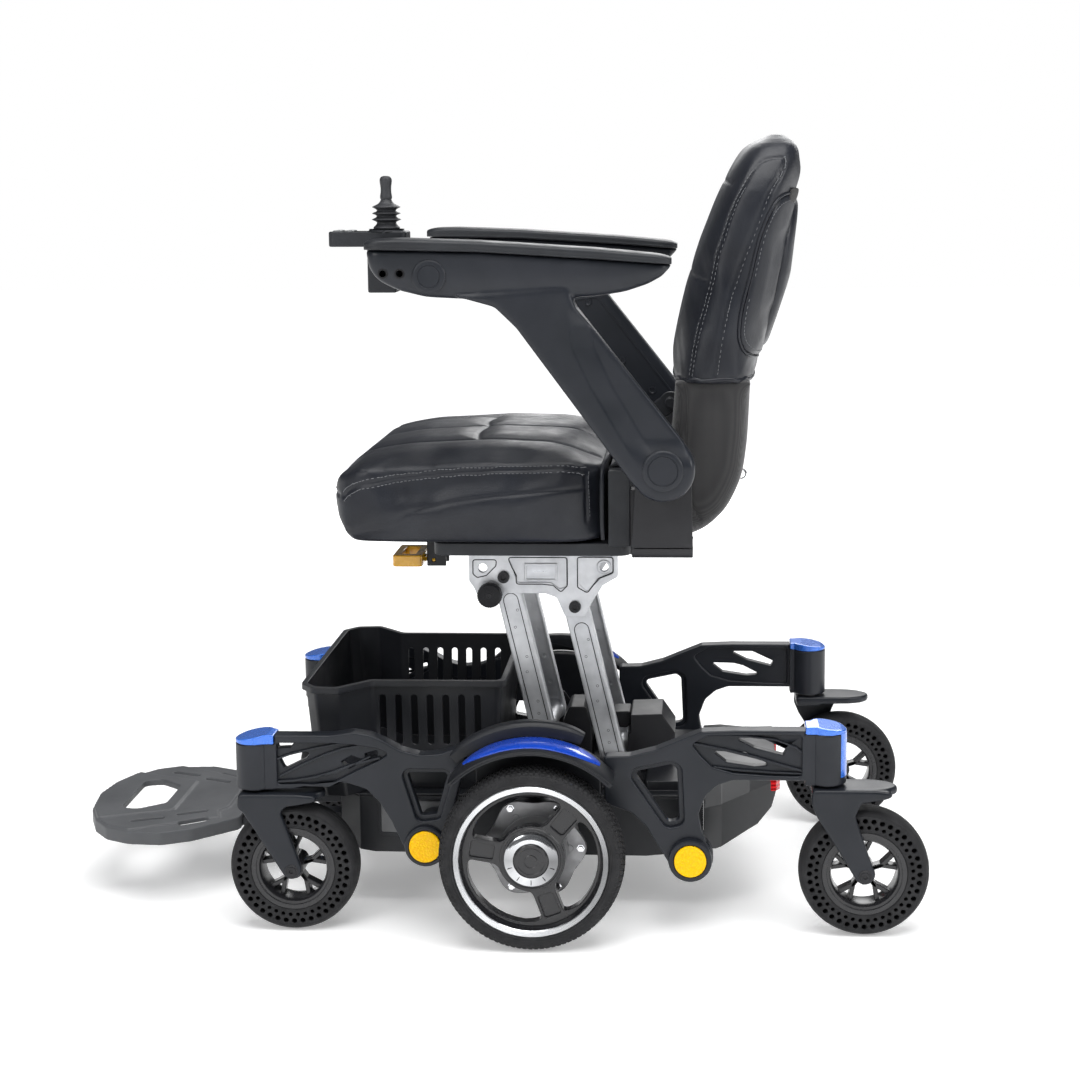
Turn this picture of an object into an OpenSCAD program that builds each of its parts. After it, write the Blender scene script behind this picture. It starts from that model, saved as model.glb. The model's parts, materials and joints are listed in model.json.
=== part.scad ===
// Mid-wheel-drive power wheelchair with a lifting, swivelling seat.
// Front is -Y, the user's left is +X and the floor is z = 0.
// Most sub-parts are drawn with Y measured from the drive axle; from_axle() moves them home.

/* [Drive wheels] */
// Distance from the origin back to the drive axle
axle_y = 74.5; // [70:0.5:80]
// Outer radius of the drive tyre
drive_r = 127; // [125:0.5:128]
// Width of the drive tyre
drive_w = 50; // [46:1:50]
// Centre plane of each drive wheel
drive_x = 292; // [290:1:294]
// Radius of the seat of the drive tyre on its rim
drive_seat_r = 106; // [104:1:108]
// Directions of the three wide spokes
spoke_dirs = [50, 170, 290]; // [0:10:350]

/* [Casters] */
// Outer radius of the caster tyre
caster_r = 90; // [86:1:90]
// Width of the caster tyre
caster_w = 44; // [40:1:44]
// Sideways place of the caster swivels
swivel_x = 228; // [226:1:230]
// Front swivel, measured from the drive axle
front_swivel_y = -389; // [-392:1:-386]
// Rear swivel, measured from the drive axle
rear_swivel_y = 401; // [398:1:404]
// Trail from the swivel back to the caster axle
trail = 52; // [48:1:54]
// Top of the front caster crown
front_crown_z = 200; // [198:1:200]
// Top of the rear caster crown
rear_crown_z = 212; // [210:1:212]
// Radius of the swivel stem
stem_r = 9; // [8:0.5:10]

/* [Chassis] */
// Half width of the battery tub
tub_x = 150; // [146:1:150]
// Top of the tub, where the cover lies
tub_top = 162; // [160:1:163]
// Thickness of the tub wall
tub_wall = 4; // [3:0.5:5]
// Front pivot of the side arms, from the axle: Y then Z
front_boss = [-151, 126];
// Rear lower boss of the side arms, from the axle: Y then Z
rear_boss = [214, 110];
// Radius of the cross shafts that carry the side arms
cross_shaft_r = 12; // [10:1:13]

/* [Lift] */
// Distance between the two pivots of each strut
strut_len = 250; // [246:1:252]
// Forward lean of the raised struts, in degrees
strut_lean = 13; // [12:0.5:14]
// Width of a strut channel
strut_w = 36; // [32:1:36]
// Outer face of the strut channels
strut_x = 88; // [86:1:88]
// Upper front pivot, from the axle: Y then Z
top_front = [-54, 472];
// Upper rear pivot, from the axle: Y then Z
top_rear = [48, 429];
// Radius of the lower pivot shafts
lift_shaft_r = 8; // [7:0.5:9]
// Radius of the upper pivot bolts
lift_bolt_r = 6; // [5:0.5:7]
// Outer face of the cast side plates
plate_x = 100; // [98:1:100]
// Height of the top of the cast side plates
plate_top = 507; // [506:0.5:508]

/* [Seat] */
// Half width of the seat cushion
seat_x = 235; // [230:1:235]
// Underside of the seat cushion
seat_z = 542; // [542:1:544]
// Half width of the back cushion
back_x = 208; // [204:1:208]
// Fold axis of the back, from the axle: Y then Z
back_axis = [180, 688];

/* [Armrests] */
// Pivot of the armrests, from the axle: Y then Z
arm_axis = [179, 657];
// Inner face of the armrest beam
arm_x0 = 262.4; // [262.4:0.1:263]
// Outer face of the armrest beam
arm_x1 = 302; // [300:0.5:303]
// Radius of the armrest pivot pin
arm_pin_r = 10; // [9:0.5:11]
// Centre of the joystick, from the axle: X, Y, Z
stick_at = [225.5, -190, 962];

/* [Footplate] */
// Hinge of the footplate, from the axle: Y then Z
foot_axis = [-440, 95];
// Half width of the footplate
foot_x = 154; // [150:1:155]

/* [Hidden] */
$fn = 64;
// Running clearance between a shaft and its hole, on the radius
run = 0.05;
// Extra length that carries a cut past a face
over = 1;
front_low = [top_front[0] + strut_len * sin(strut_lean), top_front[1] - strut_len * cos(strut_lean)];
rear_low = [top_rear[0] + strut_len * sin(strut_lean), top_rear[1] - strut_len * cos(strut_lean)];
cover_z = tub_top + 4;

// ---------- helpers ----------

// Moves a shape drawn from the drive axle to the part's origin
module from_axle() translate([0, axle_y, 0]) children();

// Draws the left-hand shape and its mirror image
module both_sides() {
  children();
  mirror([1, 0, 0]) children();
}

// Extrudes a side outline, drawn as (Y, Z), from x0 to x1
module across(x0, x1)
  translate([x0, 0, 0]) rotate([90, 0, 90]) linear_extrude(x1 - x0) children();

// Cylinder along X, centred on at = (Y, Z)
module rod_x(r, x0, x1, at)
  translate([x0, at[0], at[1]]) rotate([0, 90, 0]) cylinder(r = r, h = x1 - x0);

// Block between two opposite corners
module block(x0, x1, y0, y1, z0, z1)
  translate([x0, y0, z0]) cube([x1 - x0, y1 - y0, z1 - z0]);

// Rounds the outer corners of an outline by ro and its inner corners by ri
module soft(ro, ri = 0.01)
  offset(r = -ri, $fn = 20) offset(r = ri + ro, $fn = 20) offset(r = -ro, $fn = 20) children();

// Ring about X between two radii
module ring_x(r0, r1, x0, x1, at) difference() {
  rod_x(r1, x0, x1, at);
  rod_x(r0, x0 - over, x1 + over, at);
}

// ---------- chassis ----------

// Plan outline of the tub: the front corners are cut back to let the casters swivel
module tub_plan() polygon([
  [-tub_x, -260], [-116, -294], [116, -294], [tub_x, -260], [tub_x, 232], [-tub_x, 232]]);

module tub_side() polygon([[-294, 100], [-284, 86], [-240, 79], [150, 76], [232, 84],
  [232, tub_top], [-294, tub_top]]);

module tub_body() intersection() {
  across(-tub_x, tub_x) tub_side();
  linear_extrude(tub_top + over) tub_plan();
}

module chassis_tub() color("#1b1c1f") from_axle() {
  difference() {
    tub_body();
    intersection() {
      across(-tub_x, tub_x) translate([0, over]) offset(delta = -tub_wall) union() {
        tub_side();
        translate([-294, tub_top - over]) square([526, 20]);
      }
      linear_extrude(tub_top + over) offset(delta = -tub_wall) tub_plan();
    }
  }
  both_sides() {
    rod_x(cross_shaft_r, tub_x - 0.5, 246, front_boss);
    rod_x(cross_shaft_r, tub_x - 0.5, 246, rear_boss);
    rod_x(22, tub_x - 0.5, 216, front_boss);
    rod_x(17.5, tub_x - 0.5, 216, rear_boss);
    // hanger that carries the footplate hinge
    block(36, 66, -418, -290, 88, 108);
    block(62, 74, foot_axis[0], -412, 86, 104);
    rod_x(11, 62, 74, foot_axis);
  }
  block(-66, 66, -418, -404, 88, 108);
  rod_x(5, -70, 70, foot_axis);
}

module chassis_cover() color("#202124") from_axle() difference() {
  union() {
    translate([0, 0, tub_top]) linear_extrude(cover_z - tub_top) tub_plan();
    block(-128, 128, 150, 232, cover_z - 1, cover_z + 14);
  }
  // two carrying-strap slots in front of the battery lid
  both_sides() block(40, 110, -10, -2, tub_top - over, cover_z + over);
}

module batteries() color("#3a3d42") from_axle() both_sides() {
  block(6, 132, -120, 70, 84, 156);
  block(24, 44, 40, 60, 156, 161);
  block(94, 114, 40, 60, 156, 161);
}

module shroud_side() polygon([[232.3, 88], [250, 88], [310, 112], [331, 134], [338, 158],
  [338, 196], [232.3, 196]]);

module shroud_plan() polygon([[-tub_x, 232.3], [-tub_x, 258], [-121, 298], [-96, 338], [96, 338],
  [121, 298], [tub_x, 258], [tub_x, 232.3]]);

module rear_shroud() color("#34363a") from_axle() difference() {
  intersection() {
    across(-tub_x, tub_x) shroud_side();
    linear_extrude(200) shroud_plan();
  }
  intersection() {
    across(-tub_x, tub_x) translate([-3.5, 0]) offset(delta = -3) shroud_side();
    linear_extrude(200) translate([0, -3.5]) offset(delta = -3) shroud_plan();
  }
}

module tail_lights() color("#c01818") from_axle() both_sides()
  block(50, 94, 338, 343, 158, 186);

module gearmotors() color("#5a5d62") from_axle() both_sides() difference() {
  union() {
    rod_x(42, tub_x + 0.3, 201, [0, drive_r]);
    rod_x(58, 200, 256, [0, drive_r]);
    for (a = [0 : 60 : 300])
      rod_x(5, 255, 259, [49 * cos(a), drive_r + 49 * sin(a)]);
  }
  rod_x(12 + run, 228, 256 + over, [0, drive_r]);
}

// Side outline of the front arm, without its pivot boss
module front_arm_side() difference() {
  union() {
    soft(4, 14) polygon([[-372, 204], [-334, 204], [-293, 211], [-258, 214], [-231, 205],
      [-214, 187], [-198, 160], [-181, 122], [-121, 122], [-114, 165], [-104, 205], [-94, 240],
      [-94, 269], [-130, 256], [-157, 254], [-184, 261], [-205, 273], [-225, 282],
      [-250, 286], [-280, 281], [-372, 281]]);
    translate(front_boss) circle(r = 30);
  }
  soft(4) polygon([[-176, 228], [-119, 228], [-136, 169], [-157, 166]]);
  soft(2) polygon([[-356, 271], [-330, 272], [-337, 262], [-355, 261]]);
  soft(3) polygon([[-353, 246], [-340, 253], [-308, 256], [-316, 246], [-346, 231]]);
  soft(2) polygon([[-268, 242], [-252, 251], [-236, 244], [-256, 233]]);
  soft(2) polygon([[-234, 254], [-216, 259], [-217, 250], [-232, 246]]);
}

// Side outline of the rear arm, without its lower boss
module rear_arm_side() difference() {
  union() {
    soft(4, 14) polygon([[96, 254], [132, 255], [167, 264], [203, 279], [230, 290], [278, 292],
      [384, 292], [384, 222], [272, 222], [252, 215], [235, 200], [225, 173], [229, 150],
      [245, 108], [184, 104], [153, 156], [133, 175], [108, 184], [96, 190]]);
    translate(rear_boss) circle(r = 31);
  }
  soft(6) polygon([[136, 231], [188, 242], [196, 236], [199, 163], [184, 160]]);
  soft(2) polygon([[274, 280], [311, 280], [345, 264], [341, 256], [302, 266]]);
  soft(2) polygon([[244, 261], [289, 260], [324, 242], [302, 240], [263, 246]]);
}

// Plan outline of a caster housing that runs into the arm; toward is -1 or 1
module housing_plan(y, toward) {
  translate([swivel_x, y]) circle(r = 27);
  translate([swivel_x - 14, toward > 0 ? y : y - 30]) square([36, 30]);
}

module caster_housing(y, z0, z1, toward) difference() {
  translate([0, 0, z0]) linear_extrude(z1 - z0) housing_plan(y, toward);
  translate([swivel_x, y, z0 - over]) cylinder(r = stem_r + run, h = 56 + over);
}

module front_arm() from_axle() difference() {
  union() {
    across(226, 250) front_arm_side();
    rod_x(29, 222, 256, front_boss);
    caster_housing(front_swivel_y, 203, 268, 1);
  }
  rod_x(cross_shaft_r + run, 221, 248, front_boss);
  // seat of the coloured cap
  block(190, 270, -430, -357.7, 268, 300);
}

module front_arm_left() color("#23252a") front_arm();
module front_arm_right() color("#23252a") mirror([1, 0, 0]) front_arm();

module front_cap() from_axle() intersection() {
  across(190, 270) soft(2) polygon([[-420, 268], [-358, 268], [-358, 287], [-368, 290],
    [-402, 280], [-420, 274]]);
  linear_extrude(300) housing_plan(front_swivel_y, 1);
}

module front_cap_left() color("#2f6fe0") front_cap();
module front_cap_right() color("#2f6fe0") mirror([1, 0, 0]) front_cap();

module front_reflector() from_axle() rod_x(22.5, 256, 258.5, front_boss);
module front_reflector_left() color("#f2c500") front_reflector();
module front_reflector_right() color("#f2c500") mirror([1, 0, 0]) front_reflector();

module rear_arm() from_axle() difference() {
  union() {
    across(226, 250) rear_arm_side();
    rod_x(30, 218, 260, rear_boss);
    caster_housing(rear_swivel_y, 215, 287, -1);
  }
  rod_x(cross_shaft_r, 217, 246, rear_boss);
  // seat of the coloured cap
  block(190, 270, 370.7, 440, 287, 310);
}

module rear_arm_left() color("#23252a") rear_arm();
module rear_arm_right() color("#23252a") mirror([1, 0, 0]) rear_arm();
module rear_reflectors() color("#f2c500") from_axle() both_sides() rod_x(22.5, 260, 262.5, rear_boss);

// Wedge outline about the drive axle that keeps only the top of a ring
module top_wedge(half_angle) polygon([[0, drive_r],
  [-300 * tan(half_angle), drive_r + 300], [300 * tan(half_angle), drive_r + 300]]);

module fender_arc(r0, r1, x0, x1, half_angle) intersection() {
  ring_x(r0, r1, x0, x1, [0, drive_r]);
  across(x0 - over, x1 + over) top_wedge(half_angle);
}

module fenders() color("#1f2125") from_axle() both_sides() {
  across(226, 252) soft(3, 10) polygon([[-80, 281], [-47, 290], [-6, 292], [24, 284], [60, 263],
    [92, 254], [92, 196], [-80, 196]]);
  fender_arc(148, 156, 251, 314, 46);
  block(134, 227, -22, 22, 196, 203);
  block(134, 148, -22, 22, cover_z, 197);
}

module blue_trims() color("#1f4fd8") from_axle() both_sides() {
  fender_arc(156, 161, 260, 307, 36);
  intersection() {
    across(190, 270) soft(2) polygon([[371, 287], [430, 287], [430, 290], [420, 296],
      [388, 304], [371, 303]]);
    linear_extrude(310) housing_plan(rear_swivel_y, -1);
  }
}

// ---------- basket ----------

// Plan outline of the basket: a straight box behind a wider nose
module basket_plan(grow) soft(9, 12) offset(delta = grow) {
  translate([-138, -280]) square([276, 226]);
  polygon([[-156, -333], [156, -333], [177, -316], [180, -284], [138, -242],
    [-138, -242], [-180, -284], [-177, -316]]);
}

// Basket body drawn in by inset, tapering towards its floor
module basket_taper(inset, z0, z1) translate([0, -190, z0])
  linear_extrude(z1 - z0, scale = 1.09) scale(1 / 1.09) translate([0, 190])
    basket_plan(-inset);

module basket() color("#1a1b1d") from_axle() difference() {
  union() {
    basket_taper(0, cover_z + 0.2, 330);
    translate([0, 0, 321]) linear_extrude(9) basket_plan(5);
  }
  basket_taper(3, cover_z + 3.2, 331);
  // seven upright slots in each side wall
  for (i = [0 : 6])
    across(-160, 160) soft(4.4) translate([-231 + 22.7 * i, 233]) square([9, 75]);
}

// ---------- lift ----------

module lift_cheek_side() soft(5, 8) polygon([[-40, cover_z], [150, cover_z], [132, 205],
  [112, 206], [92, 206], [40, 214], [16, 249], [-18, 249], [-30, 220]]);

module lift_base() color("#2a2c30") from_axle() {
  difference() {
    both_sides() {
      across(98, 104) lift_cheek_side();
      block(98, 126, -30, 140, cover_z, cover_z + 5);
    }
    rod_x(lift_shaft_r, -110, 110, front_low);
    rod_x(lift_shaft_r, -110, 110, rear_low);
  }
  // fixed shafts on which the struts turn
  rod_x(lift_shaft_r, -106, 106, front_low);
  rod_x(lift_shaft_r, -106, 106, rear_low);
}

module lift_gearmotor() color("#9a9da2") from_axle() {
  // right-angle gear housing between the struts, with its motor behind it
  across(-34, 34) soft(6) polygon([[24, cover_z], [66, cover_z], [66, 240], [58, 262],
    [34, 262], [24, 240]]);
  block(-60, 60, 24, 66, cover_z, cover_z + 6);
  // drive housing that runs back to the motor
  across(-22, 22) soft(3) polygon([[40, 229], [118, 227], [124, 232], [124, 252], [40, 250]]);
  // the motor, standing behind the rear lift shaft
  across(-42, 42) soft(3, 1) polygon([[120, cover_z], [149.8, cover_z], [149.8, cover_z + 14.2],
    [189, cover_z + 14.2], [190, 226], [171, 254], [124.2, 252], [124.2, 226], [120, 222]]);
}

// One channel of a strut, standing on its lower pivot at the origin
module strut_channel() difference() {
  union() {
    difference() {
      union() {
        rod_x(strut_w / 2, strut_x - 18, strut_x, [0, 0]);
        rod_x(strut_w / 2, strut_x - 18, strut_x, [0, strut_len]);
        block(strut_x - 18, strut_x, -strut_w / 2, strut_w / 2, 0, strut_len);
      }
      rod_x(strut_w / 2 - 3.5, strut_x - 19, strut_x - 4, [0, 0]);
      rod_x(strut_w / 2 - 3.5, strut_x - 19, strut_x - 4, [0, strut_len]);
      block(strut_x - 19, strut_x - 4, 3.5 - strut_w / 2, strut_w / 2 - 3.5, 0, strut_len);
    }
    rod_x(11, strut_x - 16, strut_x - 3, [0, strut_len]);
  }
  rod_x(lift_bolt_r + run, strut_x - 20, strut_x + over, [0, strut_len]);
  rod_x(lift_shaft_r + run, strut_x - 20, strut_x + over, [0, 0]);
  // sunk panel on the outer face and a row of small holes
  block(strut_x - 1, strut_x + over, -10, 10, 26, strut_len - 36);
  for (h = [40 : 42 : strut_len - 50])
    rod_x(2, strut_x - 6, strut_x, [3, h]);
}

module strut_pair(low) from_axle() translate([0, low[0], low[1]]) rotate([strut_lean, 0, 0]) {
  both_sides() strut_channel();
  difference() {
    rod_x(13, 3.6 - strut_x, strut_x - 3.6, [0, 0]);
    rod_x(lift_shaft_r + run, -strut_x, strut_x, [0, 0]);
  }
}

module front_struts() color("#c3c6ca") strut_pair(front_low);
module rear_struts() color("#c3c6ca") strut_pair(rear_low);

module plate_side() difference() {
  soft(4, 7) polygon([[-104, plate_top], [110, plate_top], [110, 473], [88, 460], [72, 434],
    [63, 414], [34, 414], [22, 442], [6, 448], [-52, 448], [-60, 436], [-88, 436],
    [-98, 458], [-104, 466]]);
  translate([-84, 485]) circle(r = 6.5);
  translate([90, 487]) circle(r = 6.5);
  translate([-73, 448]) circle(r = 5 + run);
}

// Sunk panels in the outer face of a cast side plate
module plate_pockets() {
  soft(4, 4) polygon([[-47, 501], [38, 501], [38, 458], [26, 455], [14, 464], [-34, 464]]);
  soft(4, 4) polygon([[54, 502], [104, 502], [104, 478], [84, 470], [66, 450], [54, 462]]);
}

module carriage() color("#c3c6ca") from_axle() {
  both_sides() difference() {
    across(plate_x - 8, plate_x) plate_side();
    across(plate_x - 1.2, plate_x + over) difference() {
      plate_pockets();
      translate([90, 487]) circle(r = 10);
      translate([-24, 466]) square([47, 26]);
    }
    across(plate_x - 3, plate_x + over) translate([-21, 469]) square([41, 20]);
    rod_x(lift_bolt_r, plate_x - 9, plate_x + over, top_front);
    rod_x(lift_bolt_r, plate_x - 9, plate_x + over, top_rear);
  }
  difference() {
    union() {
      block(8 - plate_x, plate_x - 8, -104, 108, plate_top - 8, plate_top);
      block(-28, 28, -143, -103, plate_top - 8, plate_top);
    }
    translate([0, 0, plate_top - 9]) cylinder(r = 20 + run, h = 10);
  }
}

module carriage_bolts() color("#17181a") from_axle()
  both_sides() for (at = [top_front, top_rear]) {
    rod_x(lift_bolt_r, strut_x - 19, plate_x, at);
    difference() {
      rod_x(8.5, plate_x, plate_x + 5, at);
      rod_x(4, plate_x + 2, plate_x + 6, at);
    }
  }

module pull_knob() color("#141517") from_axle() {
  rod_x(5, plate_x - 7.5, plate_x + 6, [-73, 448]);
  rod_x(17.5, plate_x + 6, plate_x + 20, [-73, 448]);
}

// ---------- seat ----------

module swivel_plate() color("#26282b") from_axle() {
  translate([0, 0, plate_top - 12]) cylinder(r = 20, h = 13);
  translate([0, 0, plate_top + 0.4]) cylinder(r = 92, h = 8);
  translate([0, 0, plate_top + 8.4]) linear_extrude(8.6) soft(14)
    translate([-130, -150]) square([260, 277]);
  // bracket of the swivel release lever
  difference() {
    union() {
      block(-20, -14, -176, -148, plate_top - 36, plate_top + 17);
      block(14, 20, -176, -148, plate_top - 36, plate_top + 17);
      block(-20, 20, -160, -148, plate_top - 10, plate_top + 17);
    }
    rod_x(2.5 + run, -21, 21, [-166, 480]);
  }
}

module seat_frame() color("#1c1d20") from_axle() {
  translate([0, 0, plate_top + 17]) linear_extrude(seat_z - plate_top - 17.3) soft(18)
    translate([-205, -140]) square([410, 273]);
  block(-228, 228, 103, 133, seat_z - 0.3, 646);
  both_sides() {
    across(201, 207) soft(4, 10) union() {
      polygon([[103, 620], [133, 620], [133, 640], [192, 676], [172, 701], [103, 648]]);
      translate(back_axis) circle(r = 17);
    }
    rod_x(8, 190, 201.5, back_axis);
  }
}

module seat_cushion() color("#1d1f22") from_axle() intersection() {
  across(-seat_x, seat_x) soft(10) polygon([[-254, seat_z], [-281, 572], [-292, 606], [-282, 640],
    [-250, 660], [-180, 670], [-60, 676], [60, 672], [102, 660], [102, seat_z]]);
  linear_extrude(700) soft(60) polygon([[-seat_x, -292], [seat_x, -292], [seat_x, 102],
    [-seat_x, 102]]);
}

module arm_brackets() color("#1a1b1e") from_axle() both_sides() {
  across(254, 262) soft(4, 4) union() {
    polygon([[136, 546], [218, 546], [216, 650], [142, 650]]);
    translate(arm_axis) circle(r = 36);
  }
  // rolled lower edge that turns in under the seat
  difference() {
    translate([0, 136, 531]) block(205, 262, 0, 82, 0, 30);
    translate([0, 135, 531]) block(204, 254, 0, 84, 8, 31);
    translate([246, 135, 547]) rotate([-90, 0, 0]) difference() {
      cube([20, 20, 86]);
      translate([0, 0, -over]) cylinder(r = 16, h = 90);
    }
  }
  block(205, 228, 133.2, 141, 531, 620);
  rod_x(arm_pin_r, 261, 296, arm_axis);
}

module seat_lever() color("#d9a514") from_axle() {
  rod_x(4, -13.6, 13.6, [-166, 480]);
  rod_x(2.5, -21, 21, [-166, 480]);
  block(-13.6, 13.6, -182, -166, 477, 483);
  translate([0, 0, 474]) linear_extrude(17) difference() {
    soft(6) translate([-42, -224]) square([84, 44]);
    soft(4) translate([-28, -212]) square([56, 20]);
  }
}

// ---------- back ----------

module back_shell() color("#232427") from_axle() difference() {
  intersection() {
    across(-198, 198) soft(6) polygon([[178, 534], [205, 532], [236, 548], [268, 580],
      [290, 626], [297, 680], [301, 764.7], [190, 764.7], [186, 708], [178, 640]]);
    translate([0, 400, 0]) rotate([90, 0, 0]) linear_extrude(400) soft(50, 1)
      polygon([[-198, 532], [198, 532], [198, 820], [-198, 820]]);
  }
  both_sides() rod_x(8 + run, 189, 199, back_axis);
}

module back_side() soft(14, 1) polygon([[186, 765], [190, 790], [200, 849], [228, 944],
  [255, 1012], [282, 1066], [306, 1100], [330, 1106], [362, 1099], [372, 1078], [360, 1040],
  [349, 1012], [329, 904], [307, 822], [304, 765]]);

module back_cushion() color("#1d1f22") from_axle() intersection() {
  across(-back_x, back_x) back_side();
  translate([0, 400, 0]) rotate([90, 0, 0]) linear_extrude(400) soft(112, 1)
    polygon([[-back_x, 500], [back_x, 500], [back_x, 1106], [-back_x, 1106]]);
}

module back_pocket() color("#222327") from_axle() across(-150, 150) soft(2, 1) polygon([
  [308.5, 792], [326, 828], [347, 884], [359, 955], [366, 1022], [358, 1028],
  [351, 1010], [330.8, 903], [309.8, 824]]);

// ---------- armrests ----------

module arm_side() union() {
  soft(5, 20) polygon([[-207, 946], [-203, 922], [-188, 904], [-165, 893], [-130, 884],
    [-76, 882], [-40, 872], [-12, 845], [147, 628], [213, 684], [60, 879], [150, 890],
    [178, 904], [190, 922], [188, 926]]);
  translate(arm_axis) circle(r = 42.5);
}

module arm() from_axle() difference() {
  union() {
    across(arm_x0, arm_x1) arm_side();
    // round covers over the height clamp and the pivot
    rod_x(21, arm_x1 - 0.5, arm_x1 + 2, [-124, 912]);
    rod_x(26.5, arm_x1 - 0.5, arm_x1 + 2, arm_axis);
  }
  rod_x(arm_pin_r + run, arm_x0 - over, 297, arm_axis);
  // pair of accessory holes
  for (y = [-184, -162])
    rod_x(4.5, arm_x0 - over, arm_x1 + over, [y, 916]);
}

module arm_left() color("#25272c") arm();
module arm_right() color("#25272c") mirror([1, 0, 0]) arm();

module arm_pad() from_axle() intersection() {
  across(251, 309) soft(4, 1) polygon([[-208, 946.4], [-209, 961], [-60, 957], [90, 947],
    [188, 938], [190, 926.4]]);
  linear_extrude(1000) soft(20) translate([251, -209]) square([58, 399]);
}

module arm_pad_left() color("#2b2d31") arm_pad();
module arm_pad_right() color("#2b2d31") mirror([1, 0, 0]) arm_pad();

// ---------- joystick ----------

button_rows = [-254, -238];
button_cols = [stick_at[0] - 11, stick_at[0] + 11];

module joystick_pod() color("#26282c") from_axle() difference() {
  union() {
    translate([0, 0, 949]) linear_extrude(20) soft(8)
      polygon([[202, -265], [249, -265], [249, -161], [202, -161]]);
    translate([stick_at[0], stick_at[1], 968]) cylinder(r = 23.5, h = 4);
    translate([0, 0, 888]) linear_extrude(62) soft(4)
      polygon([[208, -214], [246, -214], [246, -176], [208, -176]]);
    rod_x(9, 245, arm_x0, [-184, 916]);
  }
  translate([stick_at[0], stick_at[1], 952]) cylinder(r = 22, h = 30);
  // journals of the gimbal, along X
  translate([stick_at[0] - 22.6, stick_at[1], stick_at[2]]) rotate([0, 90, 0])
    cylinder(r = 1.5 + run, h = 45.2);
  for (x = button_cols) for (y = button_rows)
    block(x - 7.3, x + 7.3, y - 5.3, y + 5.3, 963, 971);
}

module joystick_gimbal() color("#8a8d91") from_axle() translate(stick_at) {
  difference() {
    translate([0, 0, -3.5]) cylinder(r = 13, h = 7);
    translate([0, 0, -4.5]) cylinder(r = 9.5, h = 9);
    rotate([90, 0, 0]) translate([0, 0, -14]) cylinder(r = 1.5 + run, h = 28);
  }
  for (side = [0, 180]) rotate([0, 0, side]) translate([12.5, 0, 0]) rotate([0, 90, 0])
    cylinder(r = 1.5, h = 9.8);
}

module joystick_stick() color("#2b2d31") from_axle() translate(stick_at) {
  sphere(r = 6.5);
  rotate([90, 0, 0]) translate([0, 0, -12.4]) cylinder(r = 1.5, h = 24.8);
  cylinder(r = 3.5, h = 52);
  // grip: a slim rounded knob
  rotate_extrude() polygon([[3.4, 50], [8, 50], [7.2, 56], [7, 64], [8.2, 71], [8, 76], [5.5, 79.4],
    [0, 80], [0, 51], [3.4, 51]]);
}

module joystick_boot() color("#202226") from_axle() translate(stick_at) rotate_extrude()
  polygon([[3.7, 9.5], [17, 9.5], [18.5, 12], [13, 18], [19.5, 22], [13, 26], [18.5, 30],
    [12.5, 34], [18.5, 39], [9, 45.5], [6.5, 49.5], [3.7, 49.5]]);

module button(x, y) from_axle() translate([x, y, 0]) translate([0, 0, 965]) linear_extrude(5.6)
  soft(1.5) translate([-7, -5]) square([14, 10]);

module button_power() color("#7c8086") button(button_cols[0], button_rows[0]);
module button_horn() color("#7c8086") button(button_cols[1], button_rows[0]);
module button_faster() color("#7c8086") button(button_cols[0], button_rows[1]);
module button_slower() color("#7c8086") button(button_cols[1], button_rows[1]);

// ---------- footplate ----------

// Plan outline of the footplate: a half ellipse in front and a waist beside the casters
module foot_plan() soft(14) polygon([[-84, -452], [-104, -474], [-136, -510], [-foot_x, -550],
  [-150, -600], [-132, -637], [-100, -663], [-55, -682], [0, -690], [55, -682], [100, -663],
  [132, -637], [150, -600], [foot_x, -550], [136, -510], [104, -474], [84, -452]]);

// Raised tread of the footplate: a tongue in front on a wider step
module foot_step() intersection() {
  offset(delta = -3) foot_plan();
  polygon([[-112, -700], [112, -700], [146, -600], [89, -481], [62, -490], [44, -478],
    [-44, -478], [-62, -490], [-89, -481], [-146, -600]]);
}
module foot_tongue() intersection() {
  offset(delta = -3) foot_plan();
  polygon([[-106, -700], [106, -700], [104, -655], [66, -555], [-66, -555], [-104, -655]]);
}

// Oblong slot 9 wide in plan between two points
module oblong(a, b) hull() {
  translate(a) circle(r = 4.5);
  translate(b) circle(r = 4.5);
}

module footplate() color("#2a2c30") from_axle() difference() {
  union() {
    difference() {
      union() {
        translate([0, 0, 86]) linear_extrude(20) foot_plan();
        translate([0, 0, 100]) linear_extrude(9) foot_step();
        translate([0, 0, 100]) linear_extrude(12) foot_tongue();
      }
      translate([0, 0, 85]) linear_extrude(17) offset(delta = -5) foot_plan();
    }
    block(-60, 60, -470, foot_axis[0] - 4, 84, 104);
    rod_x(11, -60, 60, foot_axis);
  }
  rod_x(5 + run, -61, 61, foot_axis);
  // hand hole and drain slots
  translate([0, 0, 80]) linear_extrude(40) {
    soft(12) polygon([[-62, -636], [62, -636], [68, -610], [40, -574], [-40, -574], [-68, -610]]);
    for (s = [-1, 1]) {
      oblong([112 * s, -602], [98 * s, -564]);
      oblong([82 * s, -542], [67 * s, -508]);
      oblong([116 * s, -530], [98 * s, -500]);
    }
  }
}

// ---------- casters ----------

// Leg of a caster fork seen from the side, with the axle at the origin
module fork_leg_side() {
  polygon([[-70, 92], [-17, 92], [-14, 84], [12.5, 4], [-11, -8], [-58, 72], [-70, 88]]);
  circle(r = 13);
}

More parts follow.
